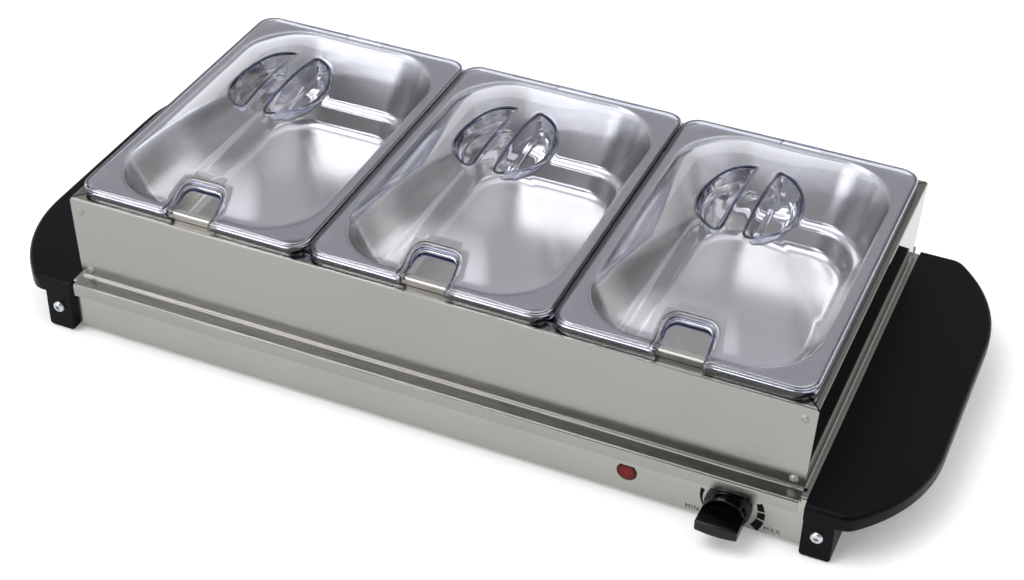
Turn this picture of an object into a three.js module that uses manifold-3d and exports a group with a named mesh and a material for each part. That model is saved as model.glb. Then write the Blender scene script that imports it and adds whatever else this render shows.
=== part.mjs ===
import * as THREE from "three";
import { mergeVertices } from "three/addons/utils/BufferGeometryUtils.js";
import Module from "manifold-3d";

// Buffet warmer: an electric warming tray with two end handles, a loose pan frame,
// three stepped pans and three clear domed lids.
// Millimetres, +Z up, front at -Y. The origin is on the table under the middle of the tray.

const wasm = await Module();
wasm.setup();

// Fits
const seatGap = 0.3;
const overrun = 3;

// Warming tray, folded from one sheet
const trayEndMargin = 1.6;
const traySideMargin = 7;
const trayTop = 42;
const sheet = 1;
const bendRadius = 1.8;
const apronBottom = 3;
const apronReturn = 12;
const handleTabLength = 16;
const handleTabHeight = 22;

// Moulded end handles with two legs each
const handleReach = 68.2;
const handleSideMargin = 5.5;
const handleDrop = 0.6;
const handleArc = 115;
const handleCornerBlend = 4.6;
const handleRim = 11.5;
const handleSkin = 3;
const handleWall = 2.6;
const handleEdge = 3.2;
const legWidth = 20.5;
const legInset = 0.5;
const legDepth = 44;
const legFoot = 0.8;
const legCorner = 2.4;
const legFloor = 4.2;
const legHollowTop = 38;

// Foot pads
const padInset = 2.6;
const padLength = 32;
const padThickness = 2.6;
const padCorner = 2.4;

// Fasteners
const legScrewHead = 8.6;
const legScrewHeadHeight = 2.6;
const legScrewShank = 3.9;
const legScrewLength = 12;
const legScrewHeight = 19.4;
const coverScrewHead = 6;
const coverScrewHeadHeight = 1.3;
const coverScrewShank = 3;
const coverScrewLength = 6;
const coverScrewFromEnd = 16.6;
const rivetHead = 6.4;
const rivetHeadHeight = 0.9;
const rivetShank = 3.2;
const rivetTail = 5;
const holeGap = 0.3;

// Bottom cover
const ventLength = 46;
const ventWidth = 5;
const ventPitch = 14;
const ventRows = 2;
const ventColumns = 3;
const ventColumnPitch = 110;
const coverEndGap = 4;

// Heater under the tray top
const heaterFromEnd = 46.6;
const heaterFromFront = 34.5;
const heaterThickness = 2.5;
const insulationThickness = 6;
const strapWidth = 16;
const strapFoot = 12;
const strapSlope = 6;
const strapFromFront = 31.5;

// Thermostat, knob and lamp on the front apron
const knobFromEnd = 48.7;
const knobHeight = 18;
const knobDiameter = 31;
const knobFaceDiameter = 28.4;
const knobBody = 11.5;
const knobStep = 3.4;
const knobStepIn = 0.9;
const knobDish = 1.6;
const knobDepth = 26.5;
const gripWidth = 27.6;
const gripThickness = 8.6;
const gripBulge = 1.1;
const gripEdge = 1;
const knobPanelGap = 0.8;
const shaftDiameter = 6;
const shaftFlat = 1.4;
const shaftInKnob = 9;
const shaftHoleGap = 1.5;
const thermostatWidth = 36;
const thermostatHeight = 23;
const thermostatDepth = 17;
const thermostatCorner = 3;
const thermostatBoss = 11;
const thermostatBossLength = 6;
const terminalBladeWidth = 6.3;
const terminalBladeThickness = 0.8;
const terminalBladeLength = 8;
const terminalBladePitch = 20;
const bracketWidth = 46;
const bracketHeight = 23.4;
const bracketFoot = 8;
const lampFromKnob = 68.6;
const lampHeight = 20.4;
const lampDiameter = 13.6;
const lampFlatShare = 0.74;
const lampProud = 1;
const lampFlange = 17;
const lampFlangeThickness = 1.6;
const lampHolderLength = 22;
const lampHolderDiameter = 12;

// Cord inlet at the rear
const glandFromEnd = 66.6;
const glandHeight = 19;
const glandFlange = 17;
const glandFlangeThickness = 2.2;
const glandNeck = 11.5;
const glandTail = 15;
const glandNose = 24;
const glandBore = 7;
const glandInside = 9;
const terminalLength = 34;
const terminalDepth = 16;
const terminalHeight = 13;
const terminalTowers = 3;
const terminalGroove = 2.2;
const terminalGrooveDepth = 5;
const terminalFromRear = 40;

// Pan frame: four folded walls
const frameEndMargin = 4.9;
const frameSideMargin = 4.8;
const frameHeight = 66.2;
const frameLean = 2.4;
const frameTopFlange = 11;
const frameEndFlange = 12.5;
const frameFootFlange = 13;
const frameEndFoot = 2.2;
const frameLip = 9.2;
const mitreSlot = 1.4;
const mitreDepth = 1.6;
const cornerTab = 14;
const cornerTabDrop = 3;
const rivetInset = 7.4;
const rivetHighDrop = 9.8;
const rivetLowRise = 7.2;

// Pans
const panCount = 3;
const panDepthBelowRim = 65;
const panSheet = 1;
const panRimSide = 7.7;
const panRimEnd = 5.9;
const panRimHeight = 5.5;
const panRimCorner = 11;
const panRimEdge = 1.4;
const panOpeningWidth = 152;
const panOpeningLength = 242;
const panOpeningCorner = 45;
const panOpeningEdge = 2.4;
const panStepDepth = 45;
const panStepInSide = 13;
const panStepInEnd = 15.4;
const panStepCorner = 37.8;
const panLedgeSide = 4.6;
const panLedgeEnd = 5;
const panLedgeFall = 1.8;
const panLedgeBend = 1.6;
const panFloorInSide = 21.5;
const panFloorInEnd = 26;
const panFloorBend = 5;
const panFloorCorner = 30;

// Lids
const lidSheet = 2.4;
const lidGap = 0.4;
const lidNeighbourGap = 0.6;
const lidSkirtDrop = 3.2;
const lidEdge = 1.2;
const lidCorner = 13.4;
const domeHeight = 37.5;
const domePower = 1.85;
const domeInset = 10;
const domeCorner = 45;
const domeRingShares = [1, 0.93, 0.84, 0.72, 0.57, 0.38, 0.18];
const notchFront = 31;
const notchBack = 29.4;
const notchReach = 24.5;
const notchCorner = 7;
const notchWall = 2;
const pocketWidth = 33.2;
const pocketLength = 41;
const pocketBar = 8;
const pocketDepth = 17;
const pocketDraft = 3.2;
const pocketCorner = 4;

// Shares
const bendShare = 0.3;
const handleCornerShare = 0.42;

// Facets
const ringSteps = 4;
const roundFacets = 16;
const smallFacets = 10;
const fastenerFacets = 8;
const pocketFacets = 7;

// Sizes that follow
const panRimWidth = panOpeningWidth + 2 * panRimSide;
const panRimLength = panOpeningLength + 2 * panRimEnd;
const lidWidth = panRimWidth + 2 * (lidSheet + lidGap);
const lidLength = panRimLength + 2 * (lidSheet + lidGap);
const panPitch = lidWidth + lidNeighbourGap;
const frameLength = (panCount - 1) * panPitch + lidWidth + 2 * frameEndMargin;
const frameDepth = lidLength + 2 * frameSideMargin;
const trayLength = frameLength + 2 * trayEndMargin;
const trayDepth = frameDepth + 2 * traySideMargin;
const handleDepth = trayDepth + 2 * handleSideMargin;
const frameBottom = trayTop + seatGap;
const frameTop = frameBottom + frameHeight;
const panRimTop = frameTop + seatGap + panRimHeight;
const lidTop = panRimTop + seatGap + lidSheet;
const handleTop = trayTop - handleDrop;
const trayEnd = trayLength / 2;
const trayFront = trayDepth / 2;
const handleFront = handleDepth / 2;
const handleInner = trayEnd + seatGap;
const handleOuter = trayEnd + handleReach;
const handleCorner = trayEnd + handleCornerShare * handleReach;
const legInner = trayEnd + legInset;
const legOuter = legInner + legWidth;
const knobAcross = trayEnd - knobFromEnd;
const lampAcross = knobAcross - lampFromKnob;
const glandAcross = trayEnd - glandFromEnd;
const coverScrewReach = trayEnd - coverScrewFromEnd;
const heaterLength = trayLength - 2 * heaterFromEnd;
const heaterDepth = trayDepth - 2 * heaterFromFront;
const strapReach = trayFront - strapFromFront;

// Finishes
const finishes = {
  brushedSteel: { color: 0xb4b2ab, roughness: 0.32, metalness: 1 },
  panSteel: { color: 0xc4c5c8, roughness: 0.22, metalness: 1 },
  galvanised: { color: 0x9a9c9b, roughness: 0.5, metalness: 1 },
  zinc: { color: 0xc9cdd0, roughness: 0.3, metalness: 1 },
  brass: { color: 0xb59a54, roughness: 0.35, metalness: 1 },
  blackPlastic: { color: 0x1b1b1e, roughness: 0.38, metalness: 0 },
  knobPlastic: { color: 0x141416, roughness: 0.3, metalness: 0 },
  clearPlastic: { color: 0xe9ebf4, roughness: 0.05, metalness: 0 },
  redLens: { color: 0x8e1a18, roughness: 0.15, metalness: 0 },
  rubber: { color: 0x242424, roughness: 0.85, metalness: 0 },
  mica: { color: 0xa58f6e, roughness: 0.6, metalness: 0 },
  wool: { color: 0xd8d2c2, roughness: 0.95, metalness: 0 },
  ceramic: { color: 0xd9d4c8, roughness: 0.6, metalness: 0 },
};
const materials = {};
for (const [name, values] of Object.entries(finishes)) {
  materials[name] = new THREE.MeshStandardMaterial(values);
}

// Solids and meshes

function toSolid(geometry) {
  const loose = geometry.index ? geometry.toNonIndexed() : geometry.clone();
  loose.deleteAttribute("normal");
  loose.deleteAttribute("uv");
  const merged = mergeVertices(loose, seatGap / 1000);
  return new wasm.Manifold(
    new wasm.Mesh({
      numProp: 3,
      vertProperties: merged.attributes.position.array,
      triVerts: new Uint32Array(merged.index.array),
    }),
  );
}

function toGeometry(solid) {
  const mesh = solid.getMesh();
  const geometry = new THREE.BufferGeometry();
  geometry.setAttribute("position", new THREE.BufferAttribute(mesh.vertProperties, 3));
  geometry.setIndex(new THREE.BufferAttribute(mesh.triVerts, 1));
  geometry.computeVertexNormals();
  return geometry;
}

function addPiece(group, name, shape, material, x = 0, y = 0, z = 0, turn = 0) {
  const geometry = shape.isBufferGeometry ? shape : toGeometry(shape);
  const mesh = new THREE.Mesh(geometry, material);
  mesh.name = name;
  mesh.position.set(x, y, z);
  mesh.rotation.z = turn;
  group.add(mesh);
  return mesh;
}

// A box between two corners.
function block(x0, x1, y0, y1, z0, z1) {
  const geometry = new THREE.BoxGeometry(x1 - x0, y1 - y0, z1 - z0);
  geometry.translate((x0 + x1) / 2, (y0 + y1) / 2, (z0 + z1) / 2);
  return toSolid(geometry);
}

// An outline drawn in X and Y, from one height to another.
function riser(shape, z0, z1, curveSegments = smallFacets) {
  const geometry = new THREE.ExtrudeGeometry(shape, { depth: z1 - z0, bevelEnabled: false, curveSegments });
  geometry.translate(0, 0, z0);
  return toSolid(geometry);
}

// A profile drawn in Y and Z, run along X and centred.
function alongX(shape, length) {
  const geometry = new THREE.ExtrudeGeometry(shape, { depth: length, bevelEnabled: false, curveSegments: smallFacets });
  geometry.translate(0, 0, -length / 2);
  const basis = new THREE.Matrix4();
  basis.makeBasis(new THREE.Vector3(0, 1, 0), new THREE.Vector3(0, 0, 1), new THREE.Vector3(1, 0, 0));
  geometry.applyMatrix4(basis);
  return toSolid(geometry);
}

// A profile drawn in X and Z, run along Y and centred.
function alongY(shape, length) {
  const geometry = new THREE.ExtrudeGeometry(shape, { depth: length, bevelEnabled: false, curveSegments: smallFacets });
  geometry.translate(0, 0, -length / 2);
  const basis = new THREE.Matrix4();
  basis.makeBasis(new THREE.Vector3(1, 0, 0), new THREE.Vector3(0, 0, 1), new THREE.Vector3(0, -1, 0));
  geometry.applyMatrix4(basis);
  return toSolid(geometry);
}

// A turned piece: profile points [radius, height] from the axis to the axis, standing on Z.
function turned(points, facets = roundFacets) {
  const outline = points.map(([radius, height]) => new THREE.Vector2(radius, height));
  const geometry = new THREE.LatheGeometry(outline, facets);
  geometry.rotateX(Math.PI / 2);
  return geometry;
}

// A turned piece with its axis along Y and its top towards the front.
function turnedToFront(points, facets = roundFacets) {
  const geometry = turned(points, facets);
  geometry.rotateX(Math.PI / 2);
  return geometry;
}

function pin(diameter, z0, z1, facets = smallFacets) {
  const radius = diameter / 2;
  return toSolid(turned([[0, z0], [radius, z0], [radius, z1], [0, z1]], facets));
}

// A round bar along Y, at x and z, from y0 at the front to y1 at the rear.
function pinAlongY(diameter, x, z, y0, y1, facets = smallFacets) {
  const radius = diameter / 2;
  const geometry = turnedToFront([[0, -y1], [radius, -y1], [radius, -y0], [0, -y0]], facets);
  geometry.translate(x, 0, z);
  return toSolid(geometry);
}

function polygon(points) {
  const shape = new THREE.Shape();
  points.forEach(([u, v], index) => (index ? shape.lineTo(u, v) : shape.moveTo(u, v)));
  shape.closePath();
  return shape;
}

// The line that runs beside another one at an even distance, to its left where it is positive.
function offsetLine(line, distance) {
  return line.map((point, index) => {
    const back = index ? point.clone().sub(line[index - 1]).normalize() : null;
    const ahead = index < line.length - 1 ? line[index + 1].clone().sub(point).normalize() : null;
    const first = back ?? ahead;
    const second = ahead ?? back;
    const normal = new THREE.Vector2(-first.y - second.y, first.x + second.x).normalize();
    const along = normal.dot(new THREE.Vector2(-first.y, first.x));
    return point.clone().addScaledVector(normal, distance / along);
  });
}

// A sheet bent along a path: every inner corner gets the bend radius, and the wall lies
// on the side of the path that the sign of the thickness picks.
function foldedSheet(path, thickness, radius = bendRadius) {
  const bendSteps = 3;
  const line = [];
  path.forEach((point, index) => {
    const here = new THREE.Vector2(...point);
    if (index === 0 || index === path.length - 1) {
      line.push(here);
      return;
    }
    const before = new THREE.Vector2(...path[index - 1]).sub(here).normalize();
    const after = new THREE.Vector2(...path[index + 1]).sub(here).normalize();
    const half = Math.acos(THREE.MathUtils.clamp(before.dot(after), -1, 1)) / 2;
    const reach = radius / Math.tan(half);
    const curve = new THREE.QuadraticBezierCurve(
      here.clone().addScaledVector(before, reach),
      here,
      here.clone().addScaledVector(after, reach),
    );
    line.push(...curve.getPoints(bendSteps));
  });
  const loop = [...line, ...offsetLine(line, thickness).reverse()];
  if (THREE.ShapeUtils.area(loop) < 0) loop.reverse();
  return new THREE.Shape(loop);
}

// Rings: rounded rectangles that a loft joins into one closed skin

function ring(halfX, halfY, corner, z) {
  const radius = Math.min(corner, halfX, halfY);
  const points = [];
  for (let quarter = 0; quarter < 4; quarter++) {
    const signX = quarter === 0 || quarter === 3 ? 1 : -1;
    const signY = quarter < 2 ? 1 : -1;
    for (let step = 0; step <= ringSteps; step++) {
      const angle = ((quarter + step / ringSteps) * Math.PI) / 2;
      const x = signX * (halfX - radius) + radius * Math.cos(angle);
      const y = signY * (halfY - radius) + radius * Math.sin(angle);
      points.push([x, y, z]);
    }
  }
  return points;
}

// Joins rings that run from the outside bottom round to the inside bottom, and closes both ends.
function loft(rings) {
  const count = rings[0].length;
  const positions = rings.flat(2);
  const index = [];
  for (let row = 0; row < rings.length - 1; row++) {
    for (let column = 0; column < count; column++) {
      const next = (column + 1) % count;
      const a = row * count + column;
      const b = row * count + next;
      const c = a + count;
      const d = b + count;
      index.push(a, b, d, a, d, c);
    }
  }
  const last = (rings.length - 1) * count;
  const centre = (points) => [0, 0, points[0][2]];
  const first = positions.length / 3;
  positions.push(...centre(rings[0]), ...centre(rings[rings.length - 1]));
  for (let column = 0; column < count; column++) {
    const next = (column + 1) % count;
    index.push(first, next, column);
    index.push(first + 1, last + column, last + next);
  }
  const geometry = new THREE.BufferGeometry();
  geometry.setAttribute("position", new THREE.Float32BufferAttribute(positions, 3));
  geometry.setIndex(index);
  return geometry;
}

// A pressed skin whose rows are rounded rectangles from its middle to its edge. The underside
// lies one thickness below the rows, so the wall stays even round every bend.
function pressedSkin(rows, thickness) {
  const middle = new THREE.Vector2(0, rows[0].z);
  const line = [middle, ...rows.map((row) => new THREE.Vector2(row.halfX, row.z))];
  const below = offsetLine(line, -thickness).slice(1);
  const upper = rows.map((row) => ring(row.halfX, row.halfY, row.corner, row.z));
  const lower = rows.map((row, index) => {
    const out = below[index].x - row.halfX;
    return ring(row.halfX + out, row.halfY + out, row.corner + out, below[index].y);
  });
  return loft([...lower, ...upper.reverse()]);
}

// Warming tray

function makeTrayShell() {
  const path = [
    [-trayFront + apronReturn, apronBottom],
    [-trayFront, apronBottom],
    [-trayFront, trayTop],
    [trayFront, trayTop],
    [trayFront, apronBottom],
    [trayFront - apronReturn, apronBottom],
  ];
  let shell = alongX(foldedSheet(path, -sheet), trayLength);
  const tabMiddle = legScrewHeight;
  const tabX0 = trayEnd - overrun;
  const tabX1 = trayEnd + handleTabLength;
  for (const side of [-1, 1]) {
    for (const face of [-1, 1]) {
      const tab = block(
        Math.min(side * tabX0, side * tabX1),
        Math.max(side * tabX0, side * tabX1),
        face > 0 ? trayFront - sheet : -trayFront,
        face > 0 ? trayFront : -trayFront + sheet,
        tabMiddle - handleTabHeight / 2,
        tabMiddle + handleTabHeight / 2,
      );
      shell = shell.add(tab);
      const screwX = side * (legInner + legOuter) / 2;
      const wallY = face * trayFront;
      shell = shell.subtract(
        pinAlongY(legScrewShank + 2 * holeGap, screwX, legScrewHeight, wallY - overrun, wallY + overrun),
      );
    }
  }
  const shaftHole = shaftDiameter + 2 * shaftHoleGap;
  shell = shell.subtract(
    pinAlongY(shaftHole, knobAcross, knobHeight, -trayFront - overrun, -trayFront + overrun),
  );
  shell = shell.subtract(lampPlug(lampDiameter + 2 * holeGap, -trayFront - overrun, -trayFront + overrun));
  shell = shell.subtract(
    pinAlongY(glandNeck + 2 * holeGap, glandAcross, glandHeight, trayFront - overrun, trayFront + overrun),
  );
  for (const [x, y] of coverScrewPlaces()) {
    const hole = pin(coverScrewShank + 2 * holeGap, apronBottom - overrun, apronBottom + sheet + overrun, fastenerFacets);
    shell = shell.subtract(hole.translate([x, y, 0]));
  }
  return shell;
}

function coverScrewPlaces() {
  const places = [];
  for (const x of [-coverScrewReach, 0, coverScrewReach]) {
    for (const y of [-1, 1]) {
      places.push([x, y * (trayFront - apronReturn / 2 - sheet / 2)]);
    }
  }
  return places;
}

function makeBottomCover() {
  const halfX = trayEnd - coverEndGap;
  const halfY = trayFront - sheet - bendRadius;
  const plate = polygon([
    [-halfX, -halfY],
    [halfX, -halfY],
    [halfX, halfY],
    [-halfX, halfY],
  ]);
  for (let column = 0; column < ventColumns; column++) {
    for (let row = 0; row < ventRows; row++) {
      const x = (column - (ventColumns - 1) / 2) * ventColumnPitch;
      const y = (row - (ventRows - 1) / 2) * ventPitch;
      const end = ventLength / 2 - ventWidth / 2;
      const slot = new THREE.Path();
      slot.absarc(x + end, y, ventWidth / 2, -Math.PI / 2, Math.PI / 2);
      slot.absarc(x - end, y, ventWidth / 2, Math.PI / 2, (3 * Math.PI) / 2);
      slot.closePath();
      plate.holes.push(slot);
    }
  }
  const bottom = apronBottom + sheet + seatGap;
  const slotFacets = 2;
  let cover = riser(plate, bottom, bottom + sheet, slotFacets);
  for (const [x, y] of coverScrewPlaces()) {
    const hole = pin(coverScrewShank + 2 * holeGap, bottom - overrun, bottom + sheet + overrun, fastenerFacets);
    cover = cover.subtract(hole.translate([x, y, 0]));
  }
  return cover;
}

// The handle's outline: a straight front, a short blend, one large arc and a straight end.
function handleOutline(inset, inner) {
  const side = handleOuter - inset;
  const front = handleFront - inset;
  const radius = handleArc - inset;
  const arcX = handleOuter - handleArc;
  const arcY = handleFront - Math.sqrt(handleArc ** 2 - (handleCorner - arcX) ** 2);
  const cornerAngle = Math.asin((front - arcY) / radius);
  const cornerX = arcX + radius * Math.cos(cornerAngle);
  const blendAngle = cornerAngle - handleCornerBlend / radius;
  const blendX = arcX + radius * Math.cos(blendAngle);
  const blendY = arcY + radius * Math.sin(blendAngle);
  const shape = new THREE.Shape();
  shape.moveTo(inner, -front);
  shape.lineTo(cornerX - handleCornerBlend, -front);
  shape.quadraticCurveTo(cornerX, -front, blendX, -blendY);
  shape.absarc(arcX, -arcY, radius, -blendAngle, 0);
  shape.lineTo(side, arcY);
  shape.absarc(arcX, arcY, radius, 0, blendAngle);
  shape.quadraticCurveTo(cornerX, front, cornerX - handleCornerBlend, front);
  shape.lineTo(inner, front);
  shape.closePath();
  return shape;
}

function legProfile(bottom, top) {
  const shape = new THREE.Shape();
  shape.moveTo(legInner, top);
  shape.lineTo(legInner, bottom + legCorner);
  shape.quadraticCurveTo(legInner, bottom, legInner + legCorner, bottom);
  shape.lineTo(legOuter - legCorner, bottom);
  shape.quadraticCurveTo(legOuter, bottom, legOuter, bottom + legCorner);
  shape.lineTo(legOuter, top);
  shape.closePath();
  return shape;
}

// The right handle; the left one is the same piece turned half round.
function makeHandle() {
  const arcFacets = 6;
  const bevelSegments = 2;
  const rimBottom = handleTop - handleRim;
  const outline = handleOutline(0, handleInner - 2 * handleEdge);
  const plate = new THREE.ExtrudeGeometry(outline, {
    depth: handleRim,
    bevelThickness: handleEdge,
    bevelSize: handleEdge,
    bevelOffset: -handleEdge,
    bevelSegments,
    curveSegments: arcFacets,
  });
  plate.translate(0, 0, rimBottom - handleEdge);
  let handle = toSolid(plate);
  handle = handle.intersect(
    block(handleInner, handleOuter + overrun, -handleFront - overrun, handleFront + overrun, rimBottom, trayTop),
  );
  const legY = handleFront - legDepth / 2;
  const leg = alongY(legProfile(legFoot, handleTop - handleEdge), legDepth);
  handle = handle.add(leg.translate([0, -legY, 0])).add(leg.translate([0, legY, 0]));
  const endWallDepth = trayFront - sheet - bendRadius;
  const bottom = apronBottom + 2 * sheet + 2 * seatGap;
  handle = handle.add(
    block(handleInner, handleInner + handleWall, -endWallDepth, endWallDepth, bottom, handleTop - handleSkin),
  );
  const hollowTop = handleTop - handleSkin;
  const hollowInner = handleInner + handleWall;
  const hollow = riser(handleOutline(handleWall, hollowInner), legFoot - overrun, hollowTop, arcFacets);
  const legHollowFront = trayFront + seatGap;
  const legKeep = block(hollowInner, legOuter, legHollowFront - legDepth, handleFront, legFoot - overrun, rimBottom);
  const legKeepRear = block(hollowInner, legOuter, -handleFront, legDepth - legHollowFront, legFoot - overrun, rimBottom);
  handle = handle.subtract(hollow.subtract(legKeep).subtract(legKeepRear));
  for (const face of [-1, 1]) {
    const y0 = face > 0 ? handleFront - legDepth - overrun : -legHollowFront;
    const y1 = face > 0 ? legHollowFront : -handleFront + legDepth + overrun;
    handle = handle.subtract(
      block(legInner - overrun, legOuter - handleWall, y0, y1, legFoot + legFloor, legHollowTop),
    );
    const legX = (legInner + legOuter) / 2;
    const pocket = padShape(seatGap, legFoot - overrun, padThickness);
    handle = handle.subtract(pocket.translate([legX, face * (handleFront - legDepth / 2), 0]));
    const frontWall = face > 0 ? handleFront : -handleFront;
    handle = handle.subtract(
      pinAlongY(
        legScrewShank + 2 * holeGap,
        legX,
        legScrewHeight,
        frontWall - handleSkin * 3,
        frontWall + handleSkin * 3,
      ),
    );
  }
  return handle;
}

// A foot pad, or the pocket that it sits in, as a block with its corners cut.
function padShape(extra, z0, z1) {
  const halfX = legWidth / 2 - padInset + extra;
  const halfY = padLength / 2 + extra;
  const cut = padCorner;
  return riser(
    polygon([
      [-halfX + cut, -halfY],
      [halfX - cut, -halfY],
      [halfX, -halfY + cut],
      [halfX, halfY - cut],
      [halfX - cut, halfY],
      [-halfX + cut, halfY],
      [-halfX, halfY - cut],
      [-halfX, -halfY + cut],
    ]),
    z0,
    z1,
  );
}

// A pan-head screw along Z, head up at height zero.
function makeScrew(head, headHeight, shank, length) {
  const radius = head / 2;
  const domeShare = 0.45;
  const crownShare = 0.62;
  return turned([
    [0, -length],
    [shank / 2, -length],
    [shank / 2, 0],
    [radius, 0],
    [radius, headHeight * domeShare],
    [radius * crownShare, headHeight],
    [0, headHeight],
  ], fastenerFacets);
}

// Heater

function strapProfile() {
  const top = trayTop - sheet - seatGap;
  const low = top - heaterThickness - insulationThickness - 2 * seatGap;
  const path = [
    [-strapReach - strapSlope - strapFoot, top],
    [-strapReach - strapSlope, top],
    [-strapReach, low],
    [strapReach, low],
    [strapReach + strapSlope, top],
    [strapReach + strapSlope + strapFoot, top],
  ];
  return foldedSheet(path, -sheet);
}

function addHeater(group) {
  const heaterTop = trayTop - sheet - seatGap;
  const heaterBottom = heaterTop - heaterThickness;
  const woolTop = heaterBottom - seatGap;
  const halfX = heaterLength / 2;
  const halfY = heaterDepth / 2;
  addPiece(group, "heater_board", block(-halfX, halfX, -halfY, halfY, heaterBottom, heaterTop), materials.mica);
  addPiece(
    group,
    "heater_insulation",
    block(-halfX, halfX, -halfY, halfY, woolTop - insulationThickness + seatGap, woolTop),
    materials.wool,
  );
  const names = ["left", "middle", "right"];
  names.forEach((name, index) => {
    addPiece(group, `heater_strap_${name}`, alongX(strapProfile(), strapWidth), materials.galvanised, (index - 1) * panPitch);
  });
}

// Thermostat, knob and lamp

function addThermostat(group) {
  const front = -trayFront + sheet + seatGap;
  const plate = block(
    knobAcross - bracketWidth / 2,
    knobAcross + bracketWidth / 2,
    front,
    front + sheet,
    knobHeight - bracketHeight / 2,
    knobHeight + bracketHeight / 2,
  );
  const ears = [-1, 1].map((side) => {
    const edge = knobAcross + side * bracketWidth / 2;
    return block(
      side > 0 ? edge - sheet : edge,
      side > 0 ? edge : edge + sheet,
      front,
      front + bracketFoot,
      knobHeight - bracketHeight / 2,
      knobHeight + bracketHeight / 2,
    );
  });
  const hole = pinAlongY(thermostatBoss + 2 * holeGap, knobAcross, knobHeight, front - overrun, front + overrun);
  const bracket = plate.add(ears[0]).add(ears[1]).subtract(hole);
  addPiece(group, "thermostat_bracket", bracket, materials.galvanised);

  const bodyFront = front + sheet + seatGap;
  const body = new THREE.Shape();
  const halfX = thermostatWidth / 2;
  const halfZ = thermostatHeight / 2;
  body.moveTo(knobAcross - halfX + thermostatCorner, knobHeight - halfZ);
  body.lineTo(knobAcross + halfX - thermostatCorner, knobHeight - halfZ);
  body.lineTo(knobAcross + halfX, knobHeight - halfZ + thermostatCorner);
  body.lineTo(knobAcross + halfX, knobHeight + halfZ - thermostatCorner);
  body.lineTo(knobAcross + halfX - thermostatCorner, knobHeight + halfZ);
  body.lineTo(knobAcross - halfX + thermostatCorner, knobHeight + halfZ);
  body.lineTo(knobAcross - halfX, knobHeight + halfZ - thermostatCorner);
  body.lineTo(knobAcross - halfX, knobHeight - halfZ + thermostatCorner);
  body.closePath();
  let thermostat = alongY(body, thermostatDepth).translate([0, bodyFront + thermostatDepth / 2, 0]);
  const bossFront = bodyFront - sheet;
  thermostat = thermostat.add(pinAlongY(thermostatBoss, knobAcross, knobHeight, bossFront, bodyFront + overrun, roundFacets));
  const rear = bodyFront + thermostatDepth;
  for (const side of [-1, 1]) {
    const x = knobAcross + side * terminalBladePitch / 2;
    thermostat = thermostat.add(
      block(
        x - terminalBladeThickness / 2,
        x + terminalBladeThickness / 2,
        rear - overrun,
        rear + terminalBladeLength,
        knobHeight - terminalBladeWidth / 2,
        knobHeight + terminalBladeWidth / 2,
      ),
    );
  }
  const shaftRear = bossFront + thermostatBossLength;
  thermostat = thermostat.subtract(
    pinAlongY(shaftDiameter + 2 * holeGap, knobAcross, knobHeight, bossFront - overrun, shaftRear + seatGap),
  );
  addPiece(group, "thermostat_body", thermostat, materials.ceramic);
  return shaftRear;
}

// Knob and shaft turn about the origin of their group, with the shaft along Y.
function makeKnob(panel) {
  const radius = knobDiameter / 2;
  const faceRadius = knobFaceDiameter / 2;
  const back = panel + knobPanelGap;
  const rim = faceRadius - knobStepIn;
  const body = turnedToFront([
    [0, back],
    [radius - knobStepIn, back],
    [radius, back + knobStepIn],
    [radius, back + knobStep],
    [faceRadius, back + knobStep + knobStepIn],
    [faceRadius - knobStepIn / 2, knobBody],
    [rim - knobStepIn, knobBody],
    [rim - 2 * knobStepIn, knobBody - knobDish],
    [0, knobBody - knobDish],
  ], roundFacets);
  const halfX = gripWidth / 2 - gripEdge;
  const halfZ = gripThickness / 2 - gripEdge;
  const grip = new THREE.Shape();
  grip.moveTo(-halfX, -halfZ);
  grip.quadraticCurveTo(0, -halfZ - 2 * gripBulge, halfX, -halfZ);
  grip.lineTo(halfX, halfZ);
  grip.quadraticCurveTo(0, halfZ + 2 * gripBulge, -halfX, halfZ);
  grip.closePath();
  const gripStart = back + knobStep;
  const gripGeometry = new THREE.ExtrudeGeometry(grip, {
    depth: knobDepth - gripStart - 2 * gripEdge,
    bevelThickness: gripEdge,
    bevelSize: gripEdge,
    bevelSegments: 2,
    curveSegments: smallFacets / 2,
  });
  gripGeometry.translate(0, 0, gripStart + gripEdge);
  gripGeometry.rotateX(Math.PI / 2);
  const bore = turnedToFront([
    [0, panel - overrun],
    [shaftDiameter / 2 + holeGap, panel - overrun],
    [shaftDiameter / 2 + holeGap, panel + shaftInKnob],
    [0, panel + shaftInKnob],
  ], smallFacets);
  return toSolid(body).add(toSolid(gripGeometry)).subtract(toSolid(bore));
}

function makeShaft(rear, front) {
  const radius = shaftDiameter / 2;
  const rod = toSolid(turnedToFront([[0, rear], [radius, rear], [radius, front], [0, front]], smallFacets));
  const flat = block(-radius, radius, -front - overrun, 0, radius - shaftFlat, radius + overrun);
  return rod.subtract(flat);
}

// The lamp's round lens has a flat on top that keys it in its hole.
function lampPlug(diameter, y0, y1) {
  const radius = diameter / 2;
  const round = pinAlongY(diameter, lampAcross, lampHeight, y0, y1, roundFacets);
  const flat = lampHeight + radius * lampFlatShare;
  return round.subtract(
    block(lampAcross - radius, lampAcross + radius, y0 - overrun, y1 + overrun, flat, lampHeight + diameter),
  );
}

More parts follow.
